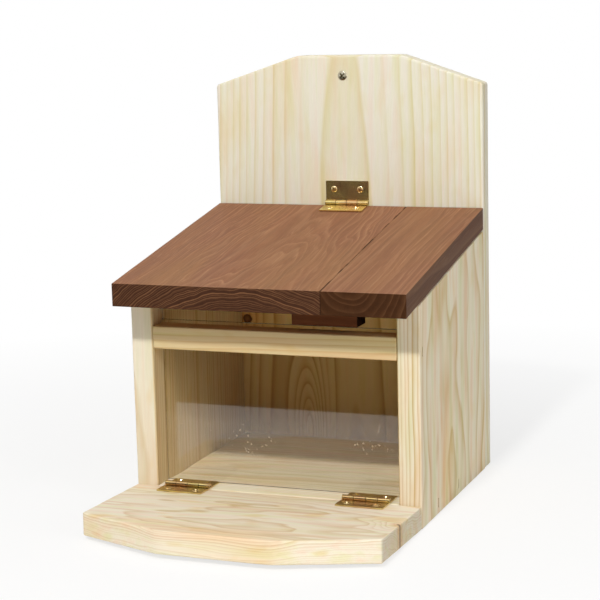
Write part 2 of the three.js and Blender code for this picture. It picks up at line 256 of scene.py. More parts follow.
def waves(points: np.ndarray, length: float, seed: int, count: int = 5) -> np.ndarray:
    """A smooth field between 0 and 1: the mean of sines of k . p + phase in seeded directions.

    Args:
        points: where to read it, in millimetres.
        length: the mean wavelength in millimetres.
        seed: which field it is.
        count: how many sines it sums.

    Returns:
        One number for each point.
    """
    random = np.random.default_rng(seed)
    directions = random.normal(size=(3, count))
    directions /= np.linalg.norm(directions, axis=0)
    wavelengths = length * random.uniform(0.7, 1.5, count)
    phases = random.uniform(0, 2 * np.pi, count)
    total = np.sin(points @ (directions * 2 * np.pi / wavelengths) + phases).mean(axis=-1)
    return 0.5 + 0.5 * total


def lattice_lines(
    low: float, high: float, radius: float, pitch: float, kinks: Sequence[float] = ()
) -> np.ndarray:
    """Where a board's lattice has its lines along one axis.

    Within the arris the lines stand at radius * tan(angle) from its start for even angles from 0 to 45
    degrees, so that the arc that they are pulled to has even steps.

    Args:
        low: the board's start.
        high: the board's end.
        radius: the arris radius.
        pitch: the greatest step between.
        kinks: places that need a line of their own.

    Returns:
        The sorted places.
    """
    arc = radius * (1 - np.tan(np.radians([45, 36, 27, 18, 9])))
    stops = [low + radius, *sorted(kinks), high - radius]
    inner = [
        np.linspace(start, end, max(2, math.ceil((end - start) / pitch) + 1))
        for start, end in zip(stops[:-1], stops[1:])
    ]
    return np.unique(np.concatenate([low + arc, *inner, high - arc]).round(6))


def lattice_surface(lines: Sequence[np.ndarray]) -> Surface:
    """The outer skin of a lattice of points: six grids that share their edges.

    Args:
        lines: the places of the lattice's lines along X, Y and Z.

    Returns:
        The closed surface of the block.
    """
    counts = [len(axis) for axis in lines]
    index = np.stack(np.meshgrid(*[np.arange(count) for count in counts], indexing="ij"), axis=-1)
    on_skin = ((index == 0) | (index == np.array(counts) - 1)).any(axis=-1)
    number = np.full(counts, -1)
    number[on_skin] = np.arange(on_skin.sum())
    places = index[on_skin]
    points = np.stack([lines[axis][places[:, axis]] for axis in range(3)], axis=-1)
    faces: list[list[int]] = []
    for axis in range(3):
        for end, flip in ((0, True), (-1, False)):
            side = np.take(number, end, axis=axis)
            corners = [side[:-1, :-1], side[1:, :-1], side[1:, 1:], side[:-1, 1:]]
            quads = np.stack([corner.ravel() for corner in corners], axis=1)
            turned = flip != (axis == 1)
            faces.extend((quads[:, ::-1] if turned else quads).tolist())
    return Surface(points, faces)


@dataclass(frozen=True)
class Easing:
    """How a board's skin departs from flat faces and sharp arrises."""

    radius: float
    variation: float = 0.25
    relief: float = 0.09
    relief_length: float = 46.0
    pitch: float = 5.0
    seed: int = 1


Warp = Callable[[np.ndarray], np.ndarray]


def board_surface(
    low: Sequence[float],
    high: Sequence[float],
    easing: Easing,
    warp: Optional[Warp] = None,
    kinks: Sequence[Sequence[float]] = ((), (), ()),
) -> Surface:
    """A board with rounded arrises and a faint waviness left by the plane.

    Each point p of a block's skin is pulled to q, the nearest point of the block made smaller by the
    arris radius r, and goes to q + (r - relief) * (p - q) / |p - q|. Both r and the relief follow
    smooth waves, and the relief only goes inwards. The warp then gives the board its outline.

    Args:
        low: the block's lowest corner.
        high: the block's highest corner.
        easing: the arris and the waviness.
        warp: moves the points to the board's outline.
        kinks: for each axis, places that need a lattice line.

    Returns:
        The closed surface.
    """
    low, high = np.array(low, float), np.array(high, float)
    places = zip(low, high, kinks)
    surface = lattice_surface(
        [lattice_lines(start, end, easing.radius, easing.pitch, own) for start, end, own in places]
    )
    points = surface.points
    swell = waves(points, easing.relief_length * 0.6, easing.seed + 50)
    radius = easing.radius * (1 + easing.variation * (2 * swell - 1))
    radius = np.minimum(radius, (high - low).min() * 0.45)[:, None]
    nearest = np.clip(points, low + radius, high - radius)
    reach = points - nearest
    length = np.maximum(np.linalg.norm(reach, axis=-1, keepdims=True), 1e-9)
    hollow = easing.relief * waves(points, easing.relief_length, easing.seed)[:, None]
    placed = nearest + reach / length * (radius - hollow)
    return Surface(warp(placed) if warp else placed, surface.faces)


def ramp_between(values: np.ndarray, start: float, end: float) -> np.ndarray:
    """A straight ramp from 0 at start to 1 at end, level outside."""
    return np.clip((values - start) / (end - start), 0, 1)


def eased_past(values: np.ndarray, ease: float = 1.5) -> np.ndarray:
    """The positive part of the values with its bend rounded: (v + sqrt(v ** 2 + e ** 2)) / 2."""
    return (values + np.sqrt(values**2 + ease**2)) / 2


def pushed(points: np.ndarray, axis: int, amount: np.ndarray) -> np.ndarray:
    """The points, each moved along one axis by its own amount.

    Args:
        points: the points.
        axis: 0, 1 or 2 for X, Y or Z.
        amount: how far each one goes.

    Returns:
        The moved points.
    """
    moved = points.copy()
    moved[:, axis] += amount
    return moved


# Meshes and pieces


def as_mesh(name: str, surface: Surface) -> Mesh:
    """A Blender mesh of the surface, still in millimetres.

    Args:
        name: the mesh's name.
        surface: the points and faces.

    Returns:
        The mesh.
    """
    mesh = bpy.data.meshes.new(name)
    mesh.from_pydata(surface.points.tolist(), [], surface.faces)
    mesh.update()
    return mesh


def as_object(name: str, mesh: Mesh) -> Thing:
    """An object that holds the mesh, linked to the scene.

    Args:
        name: the object's name.
        mesh: its mesh.

    Returns:
        The object.
    """
    made = bpy.data.objects.new(name, mesh)
    bpy.context.scene.collection.objects.link(made)
    return made


def baked(thing: Thing) -> Mesh:
    """The object's mesh with its modifiers applied.

    Args:
        thing: the object. It is used up.

    Returns:
        The new mesh.
    """
    graph = bpy.context.evaluated_depsgraph_get()
    mesh = bpy.data.meshes.new_from_object(thing.evaluated_get(graph))
    old = thing.data
    bpy.data.objects.remove(thing)
    bpy.data.meshes.remove(old)
    return mesh


def carve(mesh: Mesh, cutters: Iterable[Surface], operation: str = "DIFFERENCE") -> Mesh:
    """The mesh after each cutter is taken out of it, or cut down to each cutter.

    Args:
        mesh: the solid in millimetres. It is used up.
        cutters: closed surfaces in millimetres.
        operation: DIFFERENCE or INTERSECT.

    Returns:
        The new mesh.
    """
    blank = as_object("blank", mesh)
    tools = [as_object("cutter", as_mesh("cutter", cutter)) for cutter in cutters]
    for tool in tools:
        modifier = blank.modifiers.new(tool.name, "BOOLEAN")
        modifier.operation = operation
        modifier.solver = "EXACT"
        modifier.object = tool
    result = baked(blank)
    for tool in tools:
        old = tool.data
        bpy.data.objects.remove(tool)
        bpy.data.meshes.remove(old)
    return result


@dataclass(frozen=True)
class Dressing:
    """What a finished piece is made of and what it rides on."""

    body: Body
    slot: Slot
    material: Material
    smooth_angle: float = SMOOTH_ANGLE
    bevel: float = 0.0


def finish_piece(node: str, mesh: Mesh, dressing: Dressing) -> None:
    """Turn a mesh in millimetres into the piece, in metres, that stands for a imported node.

    Args:
        node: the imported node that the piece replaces. The piece is named after it and its slot.
        mesh: the solid in millimetres.
        dressing: body, slot, material and shading.
    """
    mesh.name = f"{node}_{ENDINGS[dressing.slot]}"
    mesh.transform(Matrix.Scale(MM, 4))
    mesh.shade_smooth()
    mesh.set_sharp_from_angle(angle=math.radians(dressing.smooth_angle))
    piece = as_object(mesh.name, mesh)
    mesh.materials.clear()
    mesh.materials.append(dressing.material)
    if dressing.bevel:
        edge = piece.modifiers.new("worn edges", "BEVEL")
        edge.width = dressing.bevel * MM
        edge.segments = 2
        edge.limit_method = "ANGLE"
        edge.angle_limit = math.radians(WORN_ANGLE)
        edge.harden_normals = False
    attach(piece, dressing.body.value)
    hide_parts(node)
    log.info("%s rides on %s, %d faces", piece.name, dressing.body.value, len(mesh.polygons))


# Colours and nodes

# A Mix node's settings where it goes from one colour to another, and where it tints the first
COLOURS = {"data_type": "RGBA"}
TINT = {"data_type": "RGBA", "blend_type": "MULTIPLY"}

# The roughness of a face without any gloss
MATT = 0.9


def linear(colour: str) -> tuple[float, float, float, float]:
    """An sRGB hex colour as linear red, green, blue and alpha."""
    values = [int(colour[start : start + 2], 16) / 255 for start in (1, 3, 5)]
    return (*[v / 12.92 if v <= 0.04045 else ((v + 0.055) / 1.055) ** 2.4 for v in values], 1.0)


def add_node(tree: Tree, kind: str, inputs: Inputs = (), output: str = "", **settings: Any) -> Socket:
    """Add a node with its settings and links.

    Args:
        tree: the node tree.
        kind: the node's type, without its ShaderNode prefix.
        inputs: the values of the inputs, or the sockets that feed them, by name or as a list in the
            order of the inputs that the settings leave in use.
        output: the name of the output to hand back, or nothing for the first one in use.
        settings: the node's own settings; stops is the list of a colour ramp's places and colours.

    Returns:
        The output socket, or None if the node has none.
    """
    node = tree.nodes.new("ShaderNode" + kind)
    stops = settings.pop("stops", ())
    for name, value in settings.items():
        setattr(node, name, value)
    for place, _ in stops[2:]:
        node.color_ramp.elements.new(place)
    for number, (place, colour) in enumerate(stops):
        node.color_ramp.elements[number].position = place
        node.color_ramp.elements[number].color = colour
    if not isinstance(inputs, dict):
        inputs = dict(zip([socket for socket in node.inputs if socket.enabled], inputs))
    for key, value in inputs.items():
        socket = node.inputs[key] if isinstance(key, str) else key
        if isinstance(value, Socket):
            tree.links.new(value, socket)
        else:
            socket.default_value = value
    in_use = [socket for socket in node.outputs if socket.enabled]
    return node.outputs[output] if output else next(iter(in_use), None)


def place_in_mm(tree: Tree) -> Socket:
    """The shaded point in the feeder's frame, in millimetres."""
    own = add_node(tree, "TexCoord", output="Object")
    return add_node(tree, "VectorMath", [own, 1 / MM], operation="SCALE")


def shine(tree: Tree, inputs: dict[str, Any]) -> None:
    """End a material with the shader that has these inputs."""
    shader = add_node(tree, "BsdfPrincipled", inputs)
    add_node(tree, "OutputMaterial", {"Surface": shader})


def grey(value: float) -> tuple[float, float, float, float]:
    """A grey of that linear value."""
    return (value, value, value, 1.0)


def new_material(name: str) -> tuple[Material, Tree]:
    """An empty node material and its tree.

    Args:
        name: the material's name.

    Returns:
        The material and its nodes.
    """
    material = bpy.data.materials.new(name)
    material.use_nodes = True
    material.node_tree.nodes.clear()
    return material, material.node_tree


# How much each finer layer of a noise adds to the one before
NOISE_ROUGHNESS = 0.5


@dataclass(frozen=True)
class Grain:
    """A noise's grain: its size in millimetres along each axis, its detail and its number."""

    size: Triple
    detail: float
    number: float


def noise(tree: Tree, place: Socket, grain: Grain, seed: float = 0.0, output: str = "Fac") -> Socket:
    """Noise at a place.

    Args:
        tree: the material's nodes.
        place: where to read it, in millimetres.
        grain: its grain.
        seed: added to the grain's number.
        output: Fac for one number or Color for three.

    Returns:
        The noise, from 0 to 1.
    """
    many = tuple(1 / size for size in grain.size)
    scaled = add_node(tree, "VectorMath", [place, many], operation="MULTIPLY")
    inputs = [scaled, seed + grain.number, 1.0, grain.detail, NOISE_ROUGHNESS]
    return add_node(tree, "TexNoise", inputs, output, noise_dimensions="4D")


# Wood

# The grains of the wood's noises, across, across and along the trunk
FIBRE = Grain((0.5, 0.5, 16.0), 2.0, 1.0)
FLECK = Grain((1.3, 1.3, 60.0), 1.0, 6.0)
PATCH = Grain((34.0, 34.0, 110.0), 1.5, 4.0)
BLOTCH = Grain((9.0, 9.0, 26.0), 1.0, 5.0)
KNOT_EDGE = Grain((1.6, 1.6, 5.0), 2.0, 3.0)
GLUE = Grain((400.0, 22.0, 400.0), 3.0, 51.0)
STREAK_LENGTH = 130.0

# The tone of a year's ring from its start to its end, and the faintest ring's strength
RING_TONES = ((0.0, 0.05), (0.42, 0.08), (0.74, 0.5), (0.9, 1.0), (1.0, 0.1))
FAINTEST_RING = 0.35

# How far the rings' widths go on to vary in a year
UNEVEN_STEP = 0.37

# Wood fibre's and binder's index of refraction
WOOD_IOR = 1.5

# A branch's half length, the distance that stands for no branch at all, how ragged a knot's edge
# is, and where the knot, its rim and the glow round it start and end, all in branch radii
BRANCH_LENGTH = 40.0
NO_KNOT = 9.0
RAGGED = 0.5
KNOT_FADE = (1.35, 1.1, 0.0, 1.0)
RIM_FADE = (0.4, 1.1, 0.0, 1.0)
GLOW_FADE = (1.2, 6.0, 1.0, 0.0)


@dataclass(frozen=True)
class Knot:
    """A branch that the board was sawn across.

    The rings bend round it: each is pushed out by push / (1 + (d / reach) ** 2), where d is the
    distance from the branch's middle line in branch radii, and is stretched along the trunk. A branch
    that ends behind the board's face bends the rings but isn't shown.
    """

    place: Triple
    axis: Triple
    radius: float
    reach: float = 2.6
    push: float = 6.0
    stretch: float = 1.0
    shown: bool = True


@dataclass(frozen=True)
class Growth:
    """How a board lay in its trunk: the trunk's middle line, its rings and its branches.

    A trunk of radius r is (r / ring) ** slowing years old, so the rings get narrower as it grows if
    slowing is more than 1.
    """

    pith: Triple
    grain: Triple
    ring: float
    slowing: float = 1.0
    wander: float = 2.0
    wander_across: float = 38.0
    wander_along: float = 170.0
    streak: float = 5.0
    uneven: float = 0.9
    knots: tuple[Knot, ...] = ()
    seed: float = 0.0


@dataclass
class Figure:
    """The sockets that a finish reads off the wood."""

    latewood: Socket
    fibre: Socket
    fleck: Socket
    streak: Socket
    patch: Socket
    blotch: Socket
    knot: Socket
    knot_rim: Socket
    knot_glow: Socket
    end_grain: Socket


def axis_turn(axis: Sequence[float]) -> Triple:
    """The Euler angles of a frame whose Z axis lies along the given direction."""
    return tuple(Vector(axis).to_track_quat("Z", "Y").to_euler())


def framed(tree: Tree, place: Triple, axis: Sequence[float], units: Triple) -> Socket:
    """The shaded point in a frame of its own.

    Args:
        tree: the material's nodes.
        place: where the frame stands, in millimetres.
        axis: the direction of its Z axis.
        units: the length of its units along each axis, in millimetres.

    Returns:
        The point.
    """
    inputs = {
        "Vector": add_node(tree, "TexCoord", output="Object"),
        "Location": tuple(value * MM for value in place),
        "Rotation": axis_turn(axis),
        "Scale": tuple(value * MM for value in units),
    }
    return add_node(tree, "Mapping", inputs, vector_type="TEXTURE")


def wood_figure(tree: Tree, growth: Growth, cut_across: tuple[float, float]) -> Figure:
    """Growth rings, fibres and knots as a solid pattern.

    A point's distance r from the trunk's middle line, with a slow wander and a push at each knot,
    divided by the ring width gives the ring that it lies in. Each ring is pale earlywood that darkens
    to latewood and then stops sharply.

    Args:
        tree: the material's nodes.
        growth: how the board lay in the trunk.
        cut_across: the cosines between a face and the fibres where end grain starts and is full.

    Returns:
        The sockets, each from 0 to 1.
    """
    trunk = framed(tree, growth.pith, growth.grain, (1.0, 1.0, 1.0))
    bends = Grain((growth.wander_across, growth.wander_across, growth.wander_along), 2.0, 0.0)
    drift = noise(tree, trunk, bends, growth.seed, "Color")
    widest, middle = 4 * growth.wander, -2 * growth.wander
    inputs = [drift, (widest, widest, 0.0), (middle, middle, 0.0)]
    shift = add_node(tree, "VectorMath", inputs, operation="MULTIPLY_ADD")
    bent = add_node(tree, "VectorMath", [trunk, shift], operation="ADD")
    flat = add_node(tree, "VectorMath", [bent, (1.0, 1.0, 0.0)], operation="MULTIPLY")
    radius = add_node(tree, "VectorMath", [flat], operation="LENGTH")

    nearest: Any = NO_KNOT
    for branch in growth.knots:
        units = (branch.radius, branch.radius * branch.stretch, branch.radius * BRANCH_LENGTH)
        inside = framed(tree, branch.place, branch.axis, units)
        away = add_node(tree, "VectorMath", [inside], operation="LENGTH")
        ratio = add_node(tree, "Math", [away, branch.reach], operation="DIVIDE")
        squared = add_node(tree, "Math", [ratio, ratio, 1.0], operation="MULTIPLY_ADD")
        push = add_node(tree, "Math", [branch.push, squared], operation="DIVIDE")
        radius = add_node(tree, "Math", [radius, push], operation="ADD")
        if branch.shown:
            nearest = add_node(tree, "Math", [nearest, away], operation="MINIMUM")
    ragged = noise(tree, bent, KNOT_EDGE, growth.seed)
    knot_edge = add_node(tree, "Math", [ragged, RAGGED, nearest], operation="MULTIPLY_ADD")

    grown = add_node(tree, "Math", [radius, 1 / growth.ring], operation="MULTIPLY")
    years = add_node(tree, "Math", [grown, growth.slowing], operation="POWER")
    spread = add_node(tree, "Math", [years, UNEVEN_STEP], operation="MULTIPLY")
    unevenness = add_node(tree, "TexNoise", [spread, 1.0, 1.0, NOISE_ROUGHNESS], noise_dimensions="1D")
    rings = add_node(tree, "Math", [years, growth.seed], operation="ADD")
    age = add_node(tree, "Math", [unevenness, 2 * growth.uneven, rings], operation="MULTIPLY_ADD")
    part = add_node(tree, "Math", [age], operation="FRACT")
    year = add_node(tree, "Math", [age], operation="FLOOR")
    stops = [(place, grey(tone)) for place, tone in RING_TONES]
    profile = add_node(tree, "ValToRGB", {"Fac": part}, "Color", stops=stops)
    luck = add_node(tree, "TexWhiteNoise", {"W": year}, "Value", noise_dimensions="1D")
    strength = add_node(tree, "MapRange", [luck, 0.0, 1.0, FAINTEST_RING])
    inputs = [add_node(tree, "TexCoord", output="Normal"), tuple(Vector(growth.grain).normalized())]
    along = add_node(tree, "VectorMath", inputs, operation="DOT_PRODUCT")
    inputs = [add_node(tree, "Math", [along], operation="ABSOLUTE"), *cut_across]
    end_grain = add_node(tree, "MapRange", inputs, interpolation_type="SMOOTHSTEP")
    streaks = Grain((growth.streak, growth.streak, STREAK_LENGTH), 2.5, 2.0)
    return Figure(
        latewood=add_node(tree, "Math", [profile, strength], operation="MULTIPLY"),
        fibre=noise(tree, bent, FIBRE, growth.seed),
        fleck=noise(tree, bent, FLECK, growth.seed),
        streak=noise(tree, bent, streaks, growth.seed),
        patch=noise(tree, trunk, PATCH, growth.seed),
        blotch=noise(tree, bent, BLOTCH, growth.seed),
        knot=add_node(tree, "MapRange", [knot_edge, *KNOT_FADE], interpolation_type="SMOOTHSTEP"),
        knot_rim=add_node(tree, "MapRange", [knot_edge, *RIM_FADE]),
        knot_glow=add_node(tree, "MapRange", [knot_edge, *GLOW_FADE]),
        end_grain=end_grain,
    )


def toned(tree: Tree, colour: Socket, *tones: Socket) -> Socket:
    """The colour made lighter or darker by every tone.

    Args:
        tree: the material's nodes.
        colour: the colour.
        tones: what it is multiplied by.

    Returns:
        The toned colour.
    """
    whole = tones[0]
    for tone in tones[1:]:
        whole = add_node(tree, "Math", [whole, tone], operation="MULTIPLY")
    return add_node(tree, "VectorMath", [colour, whole], operation="SCALE")


@dataclass(frozen=True)
class Ribs:
    """A face whose latewood and fibres stand up.

    The latewood's height is a share of the fibres', the strength is how much of the relief shows, and
    its depth is in millimetres.
    """

    latewood: float
    strength: float
    depth: float

    def normal(self, tree: Tree, figure: Figure) -> Socket:
        """The normal of such a face with the wood's pattern.

        Args:
            tree: the material's nodes.
            figure: the wood's pattern.

        Returns:
            The normal.
        """
        inputs = [figure.latewood, self.latewood, figure.fibre]
        height = add_node(tree, "Math", inputs, operation="MULTIPLY_ADD")
        inputs = {"Height": height, "Strength": self.strength, "Distance": self.depth * MM}
        return add_node(tree, "Bump", inputs)


@dataclass(frozen=True)
class Hollow:
    """The part of a board that closes the box's inside.

    There the colour is multiplied by a honey brown, most of all in the latewood. This is painted
    shade: it stands for the dim, warm light inside the box.
    """

    low: Triple
    high: Triple
    soft: Triple = (0.8, 0.8, 0.8)
    # The painted shade's tints for the earlywood and the latewood
    early: str = "#ffe7b2"
    late: str = "#dbb37f"

    def share(self, tree: Tree) -> Socket:
        """1 between the two corners and falling to 0 over the soft distances outside them.

        The share is 1 - |max(|p - middle| - half, 0) / soft|, taken axis by axis.

        Args:
            tree: the material's nodes.

        Returns:
            The share.
        """
        low, high = np.array(self.low), np.array(self.high)
        point = place_in_mm(tree)
        for operation, *values in (
            ("SUBTRACT", tuple((low + high) / 2)),
            ("ABSOLUTE",),
            ("SUBTRACT", tuple((high - low) / 2)),
            ("MAXIMUM", (0.0, 0.0, 0.0)),
            ("DIVIDE", self.soft),
        ):
            point = add_node(tree, "VectorMath", [point, *values], operation=operation)
        reach = add_node(tree, "VectorMath", [point], operation="LENGTH")
        return add_node(tree, "MapRange", [reach, 0.0, 1.0, 1.0, 0.0])


@dataclass(frozen=True)
class PlanedPine:
    """Bare Scots pine, planed and lightly sanded.

    It shows pale cream earlywood with honey latewood lines, faint pink and green streaks along the
    fibres, soft yellow blotches of resin, and a dull, barely satin face. Its end grain drinks the light
    and looks darker.
    """

    early: str = "#f0e4c8"
    late: str = "#dcc58c"
    pink: str = "#fff0ec"
    green: str = "#f6fae0"
    honey: str = "#fbe9c4"
    resin: str = "#f6e2a8"
    glow: str = "#f0cfae"
    heart: str = "#92633a"
    bark: str = "#52321c"
    contrast: float = 0.85
    tinting: float = 0.8
    blotches: float = 0.4
    end_cosines: tuple[float, float] = (0.55, 0.85)
    end_tone: float = 0.8
    shading: Ramp = (0.25, 0.75, 0.94, 1.0)
    dullness: Ramp = (0.0, 1.0, 0.68, 0.54)
    specular: float = 0.3
    ribs: Ribs = Ribs(0.6, 0.5, 0.05)

    def build(self, name: str, growth: Growth, hollow: Optional[Hollow] = None) -> Material:
        """The material of one board.

        Args:
            name: the board's name.
            growth: how the board lay in its trunk.
            hollow: the part of it that faces the box's inside, which gets a painted shade.

        Returns:
            The material.
        """
        material, tree = new_material(f"planed_pine_{name}")
        figure = wood_figure(tree, growth, self.end_cosines)
        amount = add_node(tree, "Math", [figure.latewood, self.contrast], operation="MULTIPLY")
        colour = add_node(tree, "Mix", [amount, linear(self.early), linear(self.late)], **COLOURS)
        for source, tint, ramp in (
            (figure.streak, self.pink, (0.5, 0.7, 0.0, self.tinting)),
            (figure.streak, self.green, (0.5, 0.3, 0.0, self.tinting)),
            (figure.patch, self.honey, (0.5, 0.75, 0.0, self.tinting)),
            (figure.blotch, self.resin, (0.56, 0.74, 0.0, self.blotches)),
            (figure.knot_glow, self.glow, (0.0, 1.0, 0.0, 0.8)),
        ):
            share = add_node(tree, "MapRange", [source, *ramp])
            colour = add_node(tree, "Mix", [share, colour, linear(tint)], **TINT)
        # Painted shade: the part inside the box is multiplied by a warm brown tint
        if hollow:
            tones = [figure.latewood, linear(hollow.early), linear(hollow.late)]
            inputs = [hollow.share(tree), colour, add_node(tree, "Mix", tones, **COLOURS)]
            colour = add_node(tree, "Mix", inputs, **TINT)
        branch = add_node(tree, "Mix", [figure.knot_rim, linear(self.heart), linear(self.bark)], **COLOURS)
        colour = add_node(tree, "Mix", [figure.knot, colour, branch], **COLOURS)
        shade = add_node(tree, "MapRange", [figure.fibre, *self.shading])
        ends = add_node(tree, "MapRange", [figure.end_grain, 0.0, 1.0, 1.0, self.end_tone])
        inputs = {
            "Base Color": toned(tree, colour, shade, ends),
            "Roughness": add_node(tree, "MapRange", [figure.fibre, *self.dullness]),
            "IOR": WOOD_IOR,
            "Specular IOR Level": self.specular,
            "Normal": self.ribs.normal(tree, figure),
        }
        shine(tree, inputs)
        return material


@dataclass(frozen=True)
class StainedPine:
    """Pine brushed with a thin brown exterior stain.

    The soft earlywood drinks the stain and goes dark, the hard latewood stays lighter and redder, the
    sawn edges are darker, the end grain is nearly chocolate, and a thin skin of binder takes a faint
    sheen.
    """

    early: str = "#906349"
    late: str = "#b88a67"
    patch: str = "#9a714d"
    end_early: str = "#3f261a"
    end_late: str = "#825a3d"
    glue: str = "#3a2015"
    contrast: float = 0.62
    end_contrast: float = 0.95
    end_cosines: tuple[float, float] = (0.2, 0.5)
    patching: Ramp = (0.4, 0.75, 0.0, 0.6)
    flecking: Ramp = (0.58, 0.7, 0.0, 0.4)
    shading: Ramp = (0.25, 0.75, 0.86, 1.08)
    brushing: Ramp = (0.25, 0.75, 0.86, 1.12)
    sawing: Ramp = (0.75, 0.95, 1.0, 0.4)
    glue_width: Ramp = (0.35, 1.0, 1.0, 0.0)
    glue_breaks: Ramp = (0.48, 0.6, 0.0, 0.8)
    dullness: Ramp = (0.0, 1.0, 0.46, 0.68)
    end_dullness: float = 0.3
    specular: float = 0.06
    ribs: Ribs = Ribs(0.8, 0.7, 0.1)

    def build(self, name: str, growth: Growth, joint: Optional[float] = None) -> Material:
        """The material of one stained board.

        Args:
            name: the board's name.
            growth: how the board lay in its trunk.
            joint: the X of its glued edge, which shows as a broken dark line.

        Returns:
            The material.
        """
        material, tree = new_material(f"stained_pine_{name}")
        figure = wood_figure(tree, growth, self.end_cosines)
        amount = add_node(tree, "Math", [figure.latewood, self.contrast], operation="MULTIPLY")
        colour = add_node(tree, "Mix", [amount, linear(self.early), linear(self.late)], **COLOURS)
        for source, tint, ramp in (
            (figure.patch, self.patch, self.patching),
            (figure.fleck, self.late, self.flecking),
        ):
            share = add_node(tree, "MapRange", [source, *ramp])
            colour = add_node(tree, "Mix", [share, colour, linear(tint)], **COLOURS)
        if joint is not None:
            glued = self.glue_line(tree, joint)
            colour = add_node(tree, "Mix", [glued, colour, linear(self.glue)], **COLOURS)
        ringed = add_node(tree, "Math", [figure.latewood, self.end_contrast], operation="MULTIPLY")
        ends = add_node(tree, "Mix", [ringed, linear(self.end_early), linear(self.end_late)], **COLOURS)
        colour = add_node(tree, "Mix", [figure.end_grain, colour, ends], **COLOURS)
        shade = add_node(tree, "MapRange", [figure.fibre, *self.shading])
        brushed = add_node(tree, "MapRange", [figure.streak, *self.brushing])
        normal = add_node(tree, "TexCoord", output="Normal")
        across = add_node(tree, "SeparateXYZ", [normal], "X")
        facing = add_node(tree, "Math", [across], operation="ABSOLUTE")
        sawn = add_node(tree, "MapRange", [facing, *self.sawing])
        dull = add_node(tree, "MapRange", [figure.streak, *self.dullness])
        duller = [figure.end_grain, self.end_dullness, dull]
        inputs = {
            "Base Color": toned(tree, colour, shade, brushed, sawn),
            "Roughness": add_node(tree, "Math", duller, operation="MULTIPLY_ADD"),
            "IOR": WOOD_IOR,
            "Specular IOR Level": self.specular,
            "Normal": self.ribs.normal(tree, figure),
        }
        shine(tree, inputs)
        return material

    def glue_line(self, tree: Tree, joint: float) -> Socket:
        """1 within a third of a millimetre of the joint, in stretches a few centimetres long.

        Args:
            tree: the material's nodes.
            joint: the joint's X in millimetres.

        Returns:
            The share of glue.
        """
        place = place_in_mm(tree)
        across = add_node(tree, "SeparateXYZ", {"Vector": place}, "X")
        past = add_node(tree, "Math", [across, joint], operation="SUBTRACT")
        away = add_node(tree, "Math", [past], operation="ABSOLUTE")
        line = add_node(tree, "MapRange", [away, *self.glue_width])
        stretch = add_node(tree, "MapRange", [noise(tree, place, GLUE), *self.glue_breaks])
        return add_node(tree, "Math", [line, stretch], operation="MULTIPLY")


# Metal and acrylic


@dataclass(frozen=True)
class RolledBrass:
    """Brass sheet, cold rolled, stamped and left to dull.

    It shows a yellow metal with olive and reddish tarnish in soft clouds, fine rolling lines along the
    hinge, and a bright line where a barrel turns to the light.
    """

    bright: str = "#efdf9c"
    tarnish: str = "#b99c5e"
    copper: str = "#cf9c78"
    roughness: float = 0.15
    tarnishing: Ramp = (0.35, 0.7, 0.0, 0.8)
    reddening: Ramp = (0.4, 0.66, 0.0, 0.65)
    wear: float = 0.1
    lines_strength: float = 0.2
    lines_depth: float = 0.02

    def build(self, name: str) -> Material:
        """The material of the hinge pieces that share this finish.

        Args:
            name: the material's name.

        Returns:
            The material.
        """
        material, tree = new_material(name)
        place = place_in_mm(tree)
        clouds = noise(tree, place, Grain((9.0, 9.0, 9.0), 3.0, 11.0))
        warm = noise(tree, place, Grain((16.0, 12.0, 12.0), 1.0, 12.0))
        lines = noise(tree, place, Grain((9.0, 0.18, 0.18), 2.0, 13.0))
        dulled = add_node(tree, "MapRange", [clouds, *self.tarnishing])
        colour = add_node(tree, "Mix", [dulled, linear(self.bright), linear(self.tarnish)], **COLOURS)
        redder = add_node(tree, "MapRange", [warm, *self.reddening])
        colour = add_node(tree, "Mix", [redder, colour, linear(self.copper)], **COLOURS)
        worn = add_node(tree, "Math", [dulled, self.wear, self.roughness], operation="MULTIPLY_ADD")
        dull = add_node(tree, "Math", [lines, self.wear, worn], operation="MULTIPLY_ADD")
        inputs = {"Height": lines, "Strength": self.lines_strength, "Distance": self.lines_depth * MM}
        relief = add_node(tree, "Bump", inputs)
        shine(tree, {"Base Color": colour, "Metallic": 1.0, "Roughness": dull, "Normal": relief})
        return material


@dataclass(frozen=True)
class ZincPlate:
    """Steel with bright zinc plating and a faint yellow passivation.

    It shows a grey metal with small clouds of cream and a soft, slightly grained gloss.
    """

    bright: str = "#c2beb1"
    cream: str = "#b4a988"
    roughness: float = 0.14
    wear: float = 0.2

    def build(self) -> Material:
        """The material of the plated screws and staples.

        Returns:
            The material.
        """
        material, tree = new_material("zinc_plated_steel")
        place = place_in_mm(tree)
        clouds = noise(tree, place, Grain((2.4, 2.4, 2.4), 3.0, 21.0))
        colour = add_node(tree, "Mix", [clouds, linear(self.bright), linear(self.cream)], **COLOURS)
        dull = add_node(tree, "Math", [clouds, self.wear, self.roughness], operation="MULTIPLY_ADD")
        shine(tree, {"Base Color": colour, "Metallic": 1.0, "Roughness": dull})
        return material


